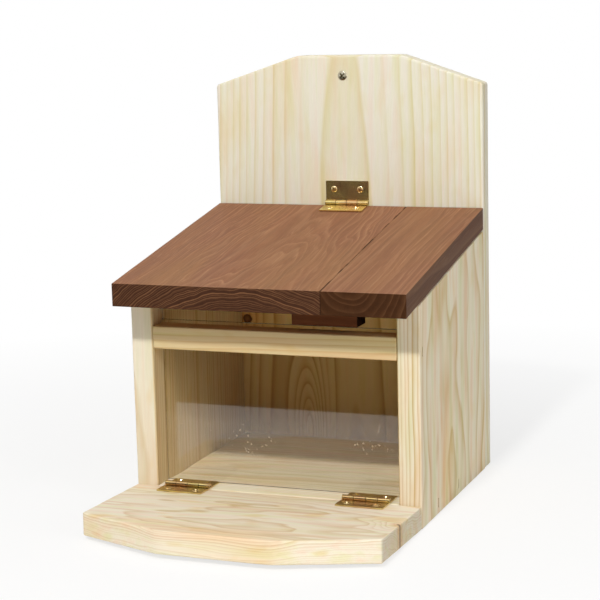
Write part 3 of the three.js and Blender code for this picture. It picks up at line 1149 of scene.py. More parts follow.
@dataclass(frozen=True)
class ClearAcrylic:
    """Clear cast acrylic sheet, saw-cut, handled and dusty.

    It mirrors nearly a tenth of the light in front of it. Its lower half carries a faint pale haze that
    is partly dusty and partly a painted reflection of the pale floor in front, and two swarms of pale
    specks lie on it.
    """

    tint: str = "#faf9f5"
    # The pale haze's colour, partly dusty and partly a painted reflection of the floor in front, and the
    # specks' colour
    dust: str = "#f2e2c8"
    husk: str = "#bfae97"
    ior: float = 1.54
    roughness: float = 0.02
    # The pale haze low on the pane, partly dusty and partly a painted reflection: its strength, top and
    # fade
    film: float = 0.05
    film_top: float = 82.0
    film_fade: float = 20.0
    speck_pitch: float = 2.45
    speck_sizes: Ramp = (0.5, 1.0, 0.04, 0.28)
    speck_edge: Ramp = (0.0, 0.02, 0.0, 1.0)
    stray_middle: float = 57.0
    stray_size: float = 0.5
    stray_clouds: Ramp = (0.36, 0.48, 0.0, 1.0)
    stray_band: Ramp = (12.0, 26.0, 1.0, 0.0)
    swarm_edge: Ramp = (0.7, 1.1, 1.0, 0.0)
    swarms: tuple[Triple, ...] = ((-26.0, 0.0, 55.0), (72.0, 0.0, 61.0))
    swarm_reach: Triple = (26.0, 1e9, 15.0)

    def swarming(self, tree: Tree, place: Socket, height: Socket) -> Socket:
        """1 in the two swarms, half of it in noisy clouds about their height, 0 elsewhere.

        Args:
            tree: the material's nodes.
            place: the shaded point in millimetres.
            height: its Z.

        Returns:
            The share by which the specks are as big as they get.
        """
        cloudy = noise(tree, place, Grain((26.0, 26.0, 16.0), 2.0, 31.0))
        clouds = add_node(tree, "MapRange", [cloudy, *self.stray_clouds])
        past = add_node(tree, "Math", [height, self.stray_middle], operation="SUBTRACT")
        away = add_node(tree, "Math", [past], operation="ABSOLUTE")
        band = add_node(tree, "MapRange", [away, *self.stray_band])
        stray = add_node(tree, "Math", [clouds, band], operation="MULTIPLY")
        share = add_node(tree, "Math", [stray, self.stray_size], operation="MULTIPLY")
        for middle in self.swarms:
            gap = add_node(tree, "VectorMath", [place, middle], operation="SUBTRACT")
            gap = add_node(tree, "VectorMath", [gap, self.swarm_reach], operation="DIVIDE")
            reach = add_node(tree, "VectorMath", [gap], operation="LENGTH")
            swarm = add_node(tree, "MapRange", [reach, *self.swarm_edge])
            share = add_node(tree, "Math", [share, swarm], operation="MAXIMUM")
        return share

    def specks(self, tree: Tree, place: Socket, height: Socket) -> Socket:
        """1 on the specks: round grains at the middles of random cells, in half of the cells.

        Args:
            tree: the material's nodes.
            place: the shaded point in millimetres.
            height: its Z.

        Returns:
            The share of dust, 0 or 1 nearly everywhere.
        """
        scaled = add_node(tree, "VectorMath", [place, 1 / self.speck_pitch], operation="SCALE")
        inputs = {"Vector": scaled, "Scale": 1.0}
        away = add_node(tree, "TexVoronoi", inputs, "Distance")
        colour = add_node(tree, "TexVoronoi", inputs, "Color")
        luck = add_node(tree, "SeparateColor", {"Color": colour}, "Red")
        size = add_node(tree, "MapRange", [luck, *self.speck_sizes])
        grain = add_node(tree, "Math", [size, self.swarming(tree, place, height)], operation="MULTIPLY")
        inside = add_node(tree, "Math", [grain, away], operation="SUBTRACT")
        return add_node(tree, "MapRange", [inside, *self.speck_edge])

    def build(self) -> Material:
        """The material of the window.

        Returns:
            The material.
        """
        material, tree = new_material("clear_acrylic")
        place = place_in_mm(tree)
        height = add_node(tree, "SeparateXYZ", {"Vector": place}, "Z")
        specks = self.specks(tree, place, height)
        # Below its top a pale haze fades in: partly dusty, partly a painted reflection of the floor in
        # front
        inputs = [height, self.film_top, self.film_top - self.film_fade, 0.0, self.film]
        low = add_node(tree, "MapRange", inputs, interpolation_type="SMOOTHSTEP")
        specks_and_painted_reflection = add_node(tree, "Math", [specks, low], operation="ADD")
        inputs = {
            "Base Color": linear(self.tint),
            "Roughness": self.roughness,
            "IOR": self.ior,
            "Transmission Weight": 1.0,
        }
        glass = add_node(tree, "BsdfPrincipled", inputs)
        rays = [add_node(tree, "LightPath", output=ray) for ray in ("Is Shadow Ray", "Is Diffuse Ray")]
        through = add_node(tree, "BsdfTransparent", {"Color": linear(self.tint)})
        clear = add_node(tree, "Math", rays, operation="MAXIMUM")
        pane = add_node(tree, "MixShader", [clear, glass, through])
        pale = add_node(tree, "Mix", [specks, linear(self.dust), linear(self.husk)], **COLOURS)
        dust_and_painted_reflection_shader = add_node(tree, "BsdfPrincipled", {"Base Color": pale, "Roughness": MATT})
        shown = add_node(tree, "MixShader", [specks_and_painted_reflection, pane, dust_and_painted_reflection_shader])
        add_node(tree, "OutputMaterial", {"Surface": shown})
        return material


# Screws and staples


@dataclass(frozen=True)
class ScrewSize:
    """A countersunk wood screw with a cross recess. The head's rim lies in z = 0, the point below.

    The dome and the recess are shares of the head's radius, the core and the point shares of the
    shank's. The dome's first row is given in degrees above the rim.
    """

    head: float
    shank: float
    length: float
    pitch: float
    rim: float = 0.12
    dome_share: float = 0.16
    dome_top: float = 86.0
    core_share: float = 0.8
    point_share: float = 3.2
    point_bluntness: float = 0.06
    point_curve: float = 0.7
    ridge_sharpness: float = 1.6
    recess_long: float = 0.62
    recess_wide: float = 0.16
    recess_tip: float = 0.34
    recess_taper: float = 0.45
    around: int = 28
    rows_in_pitch: int = 7

    @property
    def dome(self) -> float:
        """How far the head rises above its rim."""
        return self.head * self.dome_share

    def blank(self) -> Surface:
        """The screw before its recess is pressed.

        The radius follows the dome, the countersink, a plain neck and the thread. The thread adds
        depth * max(0, 1 - |2 u - 1| * sharpness) with u the fraction of (height / pitch - turn), which
        is a ridge that winds once for each pitch.

        Returns:
            The closed surface.
        """
        lift = np.linspace(math.radians(self.dome_top), 0, 9)
        cap_radii, cap_heights = self.head * np.cos(lift), self.dome * np.sin(lift)
        neck = -(self.head - self.shank)
        start, tip = neck - self.pitch, -self.length
        rows = max(12, int((self.length + neck) / self.pitch * self.rows_in_pitch))
        body = np.linspace(neck, tip + 0.15, rows)
        heights = np.concatenate([cap_heights, [-self.rim], body])
        core = np.full(rows, self.shank * self.core_share)
        radii = np.concatenate([cap_radii, [self.head - self.rim / 2], core])
        taper = ramp_between(heights, tip, tip + self.shank * self.point_share)
        pointed = radii * np.clip(taper, self.point_bluntness, 1) ** self.point_curve
        radii = np.where(heights < neck - 1e-9, pointed, radii)
        turn = np.linspace(0, 1, self.around, endpoint=False)
        winding = np.mod(heights[:, None] / self.pitch - turn[None], 1)
        ridge = np.maximum(0, 1 - np.abs(2 * winding - 1) * self.ridge_sharpness)
        threaded = ramp_between(heights, start, start - self.pitch) * taper
        radius = radii[:, None] + self.shank * (1 - self.core_share) * ridge * threaded[:, None]
        angle = 2 * np.pi * turn
        rise = np.broadcast_to(heights[:, None], radius.shape)
        return tube(np.stack([radius * np.cos(angle), radius * np.sin(angle), rise], axis=-1))

    def recess(self, turn: float) -> list[Surface]:
        """The two tapered blades of the cross recess.

        Each is as deep below the rim as it is long to either side. Towards its tip it gets shorter,
        and a little thinner.

        Args:
            turn: how far the cross is turned, in degrees.

        Returns:
            A cutter for each blade.
        """
        long, wide = self.head * self.recess_long, self.head * self.recess_wide
        top = self.dome + OVERRUN
        levels = np.array([-long, 0.0, top])
        spread = np.array([self.recess_tip, 1.0, 1.0 + top / long * (1 - self.recess_tip)])[:, None]
        x = np.array([-long, long, long, -long]) * spread
        y = np.array([-wide, -wide, wide, wide]) * (1 - self.recess_taper + self.recess_taper * spread)
        blade = tube(np.stack([x, y, np.broadcast_to(levels[:, None], x.shape)], axis=-1))
        return [blade.moved(Matrix.Rotation(math.radians(turn + angle), 4, "Z")) for angle in (0, 90)]

    def made(self, turn: float) -> Mesh:
        """The finished screw, its recess turned by an angle in degrees."""
        return carve(as_mesh("screw", self.blank()), self.recess(turn))

    def bore(self) -> Surface:
        """The countersunk hole that the screw sits in, open above its head.

        Returns:
            The cutter.
        """
        mouth, hole = self.head + SCREW_CLEARANCE, self.shank + SCREW_CLEARANCE
        end = self.length + SCREW_CLEARANCE
        radii = np.array([hole, hole, mouth, mouth])
        heights = np.array([-end, -(self.head - self.shank), 0.0, OVERRUN])
        return revolved(radii, heights, 32)


@dataclass(frozen=True)
class StapleSize:
    """A bent wire staple. The crown lies along Z in the plane x = 0 and the legs run along -X."""

    crown: float = 7.0
    thickness: float = 1.0
    width: float = 1.3
    length: float = BOARD + 14.0
    bend: float = 1.1
    tip: float = 1.2
    tip_share: float = 0.35

    def wire(self) -> Surface:
        """The wire: a rounded rectangle carried along leg, bend, crown, bend and leg.

        The bend's middle line is an arc of 90 degrees. The rectangle is a superellipse of power 4 that
        is as wide and as thick as the wire.

        Returns:
            The closed surface.
        """
        half = self.crown / 2 - self.thickness / 2
        arc = np.radians(np.linspace(0, 90, 7))
        start = np.array([-self.thickness / 2 - self.bend, half - self.bend])
        bend = start + self.bend * np.stack([np.sin(arc), np.cos(arc)], axis=-1)
        leg = np.array([[-self.length + self.tip, half], [-self.length * 0.5, half]])
        upper = np.concatenate([leg, bend])
        lower = upper[::-1] * np.array([1, -1])
        path = np.concatenate([[[-self.length, half]], upper, lower, [[-self.length, -half]]])
        ahead = np.gradient(path, axis=0)
        ahead /= np.linalg.norm(ahead, axis=1, keepdims=True)
        beside = np.stack([ahead[:, 1], -ahead[:, 0]], axis=-1)
        angle = np.linspace(0, 2 * np.pi, 16, endpoint=False)
        across = np.sign(np.cos(angle)) * np.abs(np.cos(angle)) ** 0.5 * self.thickness / 2
        along_y = np.sign(np.sin(angle)) * np.abs(np.sin(angle)) ** 0.5 * self.width / 2
        size = np.ones(len(path))
        size[[0, -1]] = self.tip_share
        flat = path[:, None] + beside[:, None] * (across[None, :, None] * size[:, None, None])
        depth = along_y[None] * size[:, None]
        return tube(np.stack([flat[..., 0], depth, flat[..., 1]], axis=-1))

    def slot(self) -> list[Surface]:
        """The cuts that the staple sits in: its two legs and the crown's groove.

        Returns:
            The cutters.
        """
        gap = SCREW_CLEARANCE
        halves = self.width / 2 + gap
        outer, inner = self.crown / 2 + gap, self.crown / 2 - self.thickness - gap
        cuts = [((-self.thickness - gap, -halves, -outer), (OVERRUN, halves, outer))]
        for low, high in ((inner, outer), (-outer, -inner)):
            cuts.append(((-self.length - gap, -halves, low), (-self.thickness, halves, high)))
        return [block(low, high) for low, high in cuts]


def block(low: Sequence[float], high: Sequence[float]) -> Surface:
    """A plain cutting block between two corners."""
    return lattice_surface([np.array([start, end], float) for start, end in zip(low, high)])


# Hinges


@dataclass(frozen=True)
class HingeSize:
    """One leaf of a rolled butt hinge. The pin's axis is local X, the leaf reaches along +Y."""

    length: float = 38.0
    leaf: float = 18.4
    sheet: float = 1.0
    bore: float = 1.15
    pin: float = 1.0
    pin_short: float = 0.3
    pin_ease: float = 0.35
    knuckle_gap: float = 0.5
    notch_gap: float = 0.3
    roll_end: float = 22.0
    corner: float = 0.8
    screw_inset: float = 7.4
    screw_reach: float = 11.4
    screw: ScrewSize = ScrewSize(head=2.7, shank=1.4, length=14.0, pitch=1.15, dome_share=0.28)

    @property
    def barrel(self) -> float:
        """The outer radius of a knuckle."""
        return self.bore + self.sheet

    def strip(self) -> Surface:
        """The sheet rolled round the pin, over the hinge's whole length.

        Its section runs flat below the barrel, then along two circles about the pin, of the barrel's
        and the bore's radius, from straight down clockwise to the roll's end.

        Returns:
            The closed surface.
        """
        sweep = np.radians(-90 - np.linspace(0, 360 - 90 + self.roll_end, 60))
        circle = np.stack([np.cos(sweep), np.sin(sweep)], axis=-1)
        flat = np.array([[self.leaf, -1.0]])
        outer = np.concatenate([flat * [1, self.barrel], circle * self.barrel])
        inner = np.concatenate([circle[::-1] * self.bore, flat * [1, self.bore]])
        return prism(np.concatenate([outer, inner]), (-self.length / 2, self.length / 2), 0)

    def outline(self) -> Surface:
        """The block that gives the leaf its two rounded outer corners.

        Returns:
            The closed surface.
        """
        angle = np.radians(np.linspace(0, 90, 6))
        far = self.leaf - self.corner + self.corner * np.sin(angle)
        wide = self.length / 2 - self.corner + self.corner * np.cos(angle)
        right = np.stack([wide, far], axis=-1)
        left = right[::-1] * [-1, 1]
        past = self.barrel + 1
        edge = np.concatenate([[[self.length / 2, -past]], right, left, [[-self.length / 2, -past]]])
        return prism(edge, (-past, past), 2)

    def notches(self) -> list[Surface]:
        """The gaps in the row of knuckles where the other leaf's knuckles turn.

        Returns:
            The cutters.
        """
        pitch = (self.length + self.knuckle_gap) / 4
        reach = self.barrel + self.notch_gap
        cuts = []
        for place in (1, 3):
            left = -self.length / 2 + place * pitch - self.knuckle_gap
            right = self.length / 2 + OVERRUN if place == 3 else left + pitch + self.knuckle_gap
            cuts.append(block((left, -reach, -reach), (right, reach, reach)))
        return cuts

    def screw_places(self) -> list[Matrix]:
        """Where the two screws sit in a leaf."""
        reach = self.length / 2 - self.screw_inset
        return [Matrix.Translation((x, self.screw_reach, -self.bore)) for x in (-reach, reach)]

    def leaf_mesh(self) -> Mesh:
        """The finished leaf: rolled, cornered, notched and drilled.

        Returns:
            The mesh in millimetres, with the pin's axis on local X.
        """
        mesh = carve(as_mesh("leaf", self.strip()), [self.outline()], "INTERSECT")
        holes = [self.screw.bore().moved(place) for place in self.screw_places()]
        return carve(mesh, [*self.notches(), *holes])

    def pin_surface(self) -> Surface:
        """The pin: a wire along X with rounded ends.

        Returns:
            The closed surface.
        """
        half, ease = self.length / 2 - self.pin_short, self.pin_ease
        arc = np.radians(np.linspace(90, 0, 5))
        end_radii = self.pin - ease + ease * np.cos(arc)
        end_heights = half - ease + ease * np.sin(arc)
        radii = np.concatenate([end_radii, end_radii[::-1]])
        heights = np.concatenate([end_heights, -end_heights[::-1]])
        return revolved(radii, heights, 32).moved(Matrix.Rotation(math.radians(90), 4, "Y"))


@dataclass(frozen=True)
class Brasses:
    """The materials of a hinge: its leaves, its brighter screws and its dull pin."""

    leaf: Material
    # The screws' brass is a lighter, slightly rougher copy: the lighter colour is a painted highlight on
    # the heads
    screw: Material
    pin: Material


@dataclass
class Hinge:
    """A butt hinge: two leaves with two screws each, and their pin."""

    name: str
    axis: Triple
    leaves: tuple[tuple[str, Body, float, float], ...]
    turns: tuple[float, ...]
    size: HingeSize = field(default_factory=HingeSize)
    leaf_bevel: float = 0.14
    screw_bevel: float = 0.05

    def leaf_place(self, tilt: float, turn: float) -> Matrix:
        """Where a leaf sits: turned about Z, then tilted about X, at the pin's axis.

        Args:
            tilt: the tilt in degrees.
            turn: the turn in degrees.

        Returns:
            Its place in millimetres.
        """
        tilted = Matrix.Rotation(math.radians(tilt), 4, "X")
        turned = Matrix.Rotation(math.radians(turn), 4, "Z")
        return Matrix.Translation(self.axis) @ tilted @ turned

    def screw_places(self) -> dict[str, list[Matrix]]:
        """The places of the screws of each leaf.

        Returns:
            Two places for each leaf, by its name.
        """
        return {
            leaf: [self.leaf_place(tilt, turn) @ place for place in self.size.screw_places()]
            for leaf, _, tilt, turn in self.leaves
        }

    def bores(self, leaf: str) -> list[Surface]:
        """The screw holes in the board below a leaf."""
        return [self.size.screw.bore().moved(place) for place in self.screw_places()[leaf]]

    def build(self, brasses: Brasses) -> None:
        """Make the leaves, the screws and the pin.

        Args:
            brasses: their materials.
        """
        turns = iter(self.turns)
        for leaf, body, tilt, turn in self.leaves:
            mesh = self.size.leaf_mesh()
            mesh.transform(self.leaf_place(tilt, turn))
            large = Dressing(body, Slot.BRASS, brasses.leaf, bevel=self.leaf_bevel)
            finish_piece(f"{leaf}_leaf", mesh, large)
            small = Dressing(body, Slot.BRASS, brasses.screw, SMALL_SMOOTH_ANGLE, self.screw_bevel)
            for number, place in enumerate(self.screw_places()[leaf], start=1):
                screw = self.size.screw.made(next(turns))
                screw.transform(place)
                finish_piece(f"{leaf}_screw_{number}", screw, small)
        pin = as_mesh("pin", self.size.pin_surface().moved(Matrix.Translation(self.axis)))
        finish_piece(f"{self.name}_pin", pin, Dressing(Body.BOX, Slot.BRASS, brasses.pin))


def lower_bores(hinges: dict[str, Hinge], board: str) -> list[Surface]:
    """The screw holes of the two lower hinges in the floor or the platform."""
    names = [f"{side.word}_hinge" for side in Side]
    return [bore for name in names for bore in hinges[name].bores(f"{name}_{board}")]


# The boards of the box


@dataclass
class Fixings:
    """The screws through the back board, the hanging screw and the staples."""

    back_screw: ScrewSize = ScrewSize(head=3.9, shank=1.9, length=39.2, pitch=1.9)
    hanging: ScrewSize = ScrewSize(head=3.9, shank=1.9, length=16.0, pitch=1.9)
    staple: StapleSize = field(default_factory=StapleSize)
    sink: float = 0.8
    staple_sink: float = 0.4
    hanging_turn: float = 43.0
    first_turn: float = 17.0
    next_turn: float = 31.0
    screw_bevel: float = 0.06

    def middle_of(self, node: str) -> np.ndarray:
        """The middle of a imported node's box."""
        low, high = box_mm(node)
        return (low + high) / 2

    def back_places(self) -> dict[str, Matrix]:
        """The places of the screws driven in from behind.

        Returns:
            The places by the screws' nodes.
        """
        back = box_mm("back_board")[1][1] - self.sink
        places = {}
        for word in (side.word for side in Side):
            for end in (f"{word}_lower", f"{word}_upper", f"floor_{word}"):
                x, _, z = self.middle_of(f"back_screw_{end}")
                turned = Matrix.Rotation(math.radians(-90), 4, "X")
                places[f"back_screw_{end}"] = Matrix.Translation((x, back, z)) @ turned
        return places

    def hanging_place(self) -> Matrix:
        """The place of the hanging screw in the front of the back board.

        Returns:
            The place of its rim in millimetres.
        """
        x, _, z = self.middle_of("hanging_screw")
        spot = (x, box_mm("back_board")[0][1], z)
        return Matrix.Translation(spot) @ Matrix.Rotation(math.radians(90), 4, "X")

    def staple_places(self) -> dict[str, Matrix]:
        """The places of the staples.

        Returns:
            The places by the staples' nodes.
        """
        places = {}
        for side in Side:
            x = side.value * (box_mm("back_board")[1][0] - self.staple_sink)
            turned = Matrix.Rotation(0.0 if side is Side.RIGHT else math.pi, 4, "Z")
            floor = f"floor_staple_{side.word}"
            for name in (f"rail_staple_{side.word}", f"{floor}_front", f"{floor}_back"):
                _, y, z = self.middle_of(name)
                places[name] = Matrix.Translation((x, y, z)) @ turned
        return places

    def back_bores(self) -> list[Surface]:
        """The holes of the screws driven in from behind."""
        return [self.back_screw.bore().moved(place) for place in self.back_places().values()]

    def staple_slots(self) -> list[Surface]:
        """The slots of the staples."""
        return [cut.moved(place) for place in self.staple_places().values() for cut in self.staple.slot()]

    def build(self, steel: Material) -> None:
        """Make the screws and the staples.

        Args:
            steel: the material of all of them.
        """
        screws = [
            (name, self.back_screw, self.first_turn + self.next_turn * number, place)
            for number, (name, place) in enumerate(self.back_places().items())
        ]
        screws.append(("hanging_screw", self.hanging, self.hanging_turn, self.hanging_place()))
        small = Dressing(Body.BOX, Slot.STEEL, steel, SMALL_SMOOTH_ANGLE, self.screw_bevel)
        for name, size, turn, place in screws:
            mesh = size.made(turn)
            mesh.transform(place)
            finish_piece(name, mesh, small)
        for name, place in self.staple_places().items():
            mesh = as_mesh("staple", self.staple.wire().moved(place))
            finish_piece(name, mesh, Dressing(Body.BOX, Slot.STEEL, steel))


def cut_board(name: str, surface: Surface, cutters: Iterable[Surface]) -> Mesh:
    """A board after every cutter that reaches into its box is taken out of it.

    Args:
        name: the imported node.
        surface: the board before it is cut.
        cutters: everything that may cut into it.

    Returns:
        The mesh in millimetres.
    """
    low, high = surface.points.min(axis=0), surface.points.max(axis=0)
    reaching = [
        cutter
        for cutter in cutters
        if (cutter.points.min(axis=0) < high).all() and (cutter.points.max(axis=0) > low).all()
    ]
    return carve(as_mesh(name, surface), reaching)


def level_share(
    points: np.ndarray, axis: int, low: np.ndarray, high: np.ndarray, easing: Easing
) -> np.ndarray:
    """How far each point lies from a board's low face to its high one, level within the arrises.

    Args:
        points: points of the board.
        axis: the direction from the one face to the other.
        low: the board's lowest corner.
        high: the board's highest corner.
        easing: its arris.

    Returns:
        A share from 0 to 1 for each point.
    """
    return ramp_between(points[:, axis], low[axis] + easing.radius, high[axis] - easing.radius)


@dataclass
class BoxBoards:
    """The fixed boards: back, sides, floor and front rail."""

    fixings: Fixings
    hinges: dict[str, Hinge]
    shoulder_drop: float = 24.0
    left_slope: float = 74.5
    right_slope: float = 69.5
    side_fall: float = 32.0
    groove_depth: float = 5.0
    groove_gap: float = 0.3
    # How far the painted shade of the box's inside reaches and how softly it fades, in millimetres
    hollow_front: float = 40.0
    hollow_past: float = 1.0
    hollow_drop: float = 222.0
    hollow_edge: float = 0.8
    hollow_fade: float = 62.0

    def back(self) -> None:
        """The tall back board: a block whose top is lowered beyond the slopes' inner ends.

        The top falls by drop * past / width on each side, with past how far x lies beyond the bend,
        and the bend is eased over a few millimetres.
        """
        low, high = box_mm("back_board")
        left, right = low[0] + self.left_slope, high[0] - self.right_slope
        easing = Easing(radius=2.2, seed=3)

        def lowered(points: np.ndarray) -> np.ndarray:
            """Let the shoulders down."""
            fall = eased_past(left - points[:, 0]) / self.left_slope
            fall += eased_past(points[:, 0] - right) / self.right_slope
            share = level_share(points, 2, low, high, easing)
            return pushed(points, 2, -self.shoulder_drop * fall * share)

        surface = board_surface(low, high, easing, lowered, ((left, right), (), ()))
        hanging = self.fixings.hanging.bore().moved(self.fixings.hanging_place())
        cutters = [*self.fixings.back_bores(), hanging, *self.hinges["top_hinge"].bores("top_hinge_back")]
        growth = Growth(
            pith=(-5.0, low[1] + 60.0, 318.0),
            grain=(0.02, 0.05, 1.0),
            ring=34.2,
            slowing=2.0,
            wander=1.0,
            wander_across=60.0,
            uneven=0.25,
            seed=0.05,
            knots=(
                Knot((-95.6, low[1], 119.7), (0.1, 1.0, 0.1), 4.2, reach=2.4, push=5.0),
                Knot((-38.0, low[1], 22.0), (0.0, 1.0, 0.12), 9.0, 1.8, 60.0, stretch=4.6, shown=False),
            ),
        )
        pale = PlanedPine("#ebe6d6", "#dcd09e", tinting=0.6, blotches=0.2, end_tone=1.1, specular=0.08)
        # The back board's face inside the box gets a painted shade that fades out upwards
        inner = box_mm("left_side")[1][0]
        first = (inner, low[1] - self.hollow_front, BOARD)
        last = (-inner, low[1] + SKIN, high[2] - self.hollow_drop)
        hollow = Hollow(first, last, (self.hollow_edge, self.hollow_edge, self.hollow_fade))
        self.board("back_board", surface, cutters, pale, growth, hollow)

    def side(self, side: Side) -> None:
        """One side: a block whose top slopes down to the front, with the window's groove.

        Args:
            side: left or right.
        """
        name = f"{side.word}_side"
        low, high = box_mm(name)
        pane_low, pane_high = box_mm("window_pane")
        easing = Easing(radius=1.2, seed=7 + side.value)

        def sloped(points: np.ndarray) -> np.ndarray:
            """Let the top down towards the front."""
            fall = self.side_fall * (high[1] - points[:, 1]) / (high[1] - low[1])
            return pushed(points, 2, -fall * level_share(points, 2, low, high, easing))

        surface = board_surface(low, high, easing, sloped)
        inner = min(abs(low[0]), abs(high[0]))
        reach = sorted([side.value * (inner - OVERRUN), side.value * (inner + self.groove_depth)])
        groove = block(
            (reach[0], pane_low[1] - self.groove_gap, BOARD),
            (reach[1], pane_high[1] + self.groove_gap, high[2] + OVERRUN),
        )
        cutters = [groove, *self.fixings.back_bores(), *self.fixings.staple_slots()]
        growth = {
            Side.LEFT: Growth((-150.0, 200.0, 100.0), (0.02, 0.02, 1.0), ring=6.0, slowing=1.1, seed=4.1),
            Side.RIGHT: Growth(
                (700.0, 30.0, 100.0),
                (0.006, 0.03, 1.0),
                ring=3.0,
                wander=2.6,
                wander_across=44.0,
                wander_along=150.0,
                streak=11.0,
                uneven=0.4,
                seed=6.1,
            ),
        }[side]
        streaky = PlanedPine(
            early="#f0e6ce",
            late="#d0b072",
            contrast=1.0 if side is Side.RIGHT else 0.4,
            tinting=0.8 if side is Side.RIGHT else 0.4,
            pink="#f9e0cf",
            green="#ecf2d8",
            blotches=0.3,
        )
        # The side's inner face gets a painted shade
        first = (-inner - SKIN, low[1] - self.hollow_past, BOARD)
        last = (inner + SKIN, high[1] + self.hollow_past, high[2])
        hollow = Hollow(first, last, early="#f2e6cc", late="#d8bd97")
        self.board(name, surface, cutters, streaky, growth, hollow)

    def floor(self) -> None:
        """The floor between the sides."""
        low, high = box_mm("floor_board")
        surface = board_surface(low, high, Easing(radius=1.2, seed=13))
        cutters = [*self.fixings.back_bores(), *self.fixings.staple_slots()]
        cutters += lower_bores(self.hinges, "floor")
        pith, grain = (0.0, 40.0, -48.0), (1.0, 0.03, 0.02)
        growth = Growth(pith, grain, ring=3.4, wander=3.0, wander_across=34.0, seed=8.4)
        self.board("floor_board", surface, cutters, PlanedPine(early="#fdf5e0"), growth)

    def rail(self) -> None:
        """The square batten above the window."""
        low, high = box_mm("front_rail")
        surface = board_surface(low, high, Easing(radius=1.2, seed=17, relief=0.06))
        pith = (0.0, low[1] + 46.0, low[2] - 22.0)
        growth = Growth(pith, grain=(1.0, 0.0, 0.012), ring=3.2, wander=1.2, seed=9.7)
        honey = PlanedPine(early="#dfca9a", late="#c29252", contrast=0.9)
        self.board("front_rail", surface, self.fixings.staple_slots(), honey, growth)

    def board(
        self,
        name: str,
        surface: Surface,
        cutters: Iterable[Surface],
        finish: PlanedPine,
        growth: Growth,
        hollow: Optional[Hollow] = None,
    ) -> None:
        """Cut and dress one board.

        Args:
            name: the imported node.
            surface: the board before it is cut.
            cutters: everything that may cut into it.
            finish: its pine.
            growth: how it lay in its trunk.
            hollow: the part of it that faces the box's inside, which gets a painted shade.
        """
        material = finish.build(name, growth, hollow)
        finish_piece(name, cut_board(name, surface, cutters), Dressing(Body.BOX, Slot.PINE, material))

    def build(self) -> None:
        """Make every fixed board."""
        self.back()
        for side in Side:
            self.side(side)
        self.floor()
        self.rail()


@dataclass
class Window:
    """The clear pane in the sides' grooves."""

    finish: ClearAcrylic = ClearAcrylic()
    arris: float = 0.3

    def build(self) -> None:
        """Make the pane."""
        low, high = box_mm("window_pane")
        surface = board_surface(low, high, Easing(self.arris, variation=0.1, relief=0.0, pitch=12.0))
        mesh = as_mesh("pane", surface)
        finish_piece("window_pane", mesh, Dressing(Body.BOX, Slot.ACRYLIC, self.finish.build()))


@dataclass
class Lid:
    """The stained lid: two boards glued edge to edge and the block below their joint."""

    hinge: Hinge
    finish: StainedPine = StainedPine()
    slope: float = math.degrees(math.atan2(32.0, 180.0))
    arris: float = 0.55

    @property
    def rise(self) -> float:
        """How far the lid rises for each millimetre towards the back."""
        return math.tan(math.radians(self.slope))

    def sheared(self, node: str, seed: int) -> Surface:
        """A lid board: a level block sheared by z + rise * (y - front), so that its ends stay plumb.

        Args:
            node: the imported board.
            seed: the waviness's seed.

        Returns:
            The closed surface.
        """
        low, high = box_mm(node)
        climb = self.rise * (high[1] - low[1])
        top = (high[0], high[1], high[2] - climb)

        def shear(points: np.ndarray) -> np.ndarray:
            """Lift the board towards the back."""
            return pushed(points, 2, self.rise * (points[:, 1] - low[1]))

        return board_surface(low, top, Easing(self.arris, variation=0.4, relief=0.12, seed=seed), shear)

    def block_surface(self) -> Surface:
        """The block: level below, and its top slopes with the lid.

        Returns:
            The closed surface.
        """
        low, high = box_mm("lid_block")
        easing = Easing(0.7, relief=0.05, pitch=4.0, seed=29)

        def sloped(points: np.ndarray) -> np.ndarray:
            """Let the top down towards the front."""
            fall = self.rise * (high[1] - points[:, 1])
            return pushed(points, 2, -fall * level_share(points, 2, low, high, easing))

        return board_surface(low, high, easing, sloped)

    def build(self) -> None:
        """Make the boards and the block."""
        grain = (0.0, math.cos(math.radians(self.slope)), math.sin(math.radians(self.slope)))
        front = box_mm("lid_wide_board")[0]
        wide = Growth(
            pith=(-12.0, front[1], front[2] - 105.0),
            grain=(0.01, grain[1], grain[2] - 0.038),
            ring=1.7,
            wander=3.4,
            wander_across=30.0,
            wander_along=120.0,
            seed=3.9,
        )
        narrow = Growth(
            pith=(74.0, front[1], front[2] + 26.0),
            grain=(0.03, grain[1], grain[2] + 0.02),
            ring=5.0,
            wander=2.4,
            wander_across=30.0,
            seed=6.2,
        )
        bores = self.hinge.bores("top_hinge_lid")
        joint = float(box_mm("lid_wide_board")[1][0])
        plainer = StainedPine(end_contrast=0.3, end_early="#402614")
        for name, growth, seed, finish in (
            ("lid_wide_board", wide, 19, self.finish),
            ("lid_narrow_board", narrow, 23, plainer),
        ):
            mesh = cut_board(name, self.sheared(name, seed), bores)
            finish_piece(name, mesh, Dressing(Body.LID, Slot.STAINED, finish.build(name, growth, joint)))
        low = box_mm("lid_block")[0]
        growth = Growth((40.0, low[1] - 40.0, low[2] - 30.0), grain=(1.0, 0.0, 0.0), ring=2.8, seed=4.4)
        material = StainedPine("#653a20", "#7d4e2e", "#6e4226").build("lid_block", growth)
        mesh = as_mesh("lid_block", self.block_surface())
        finish_piece("lid_block", mesh, Dressing(Body.LID, Slot.STAINED, material))


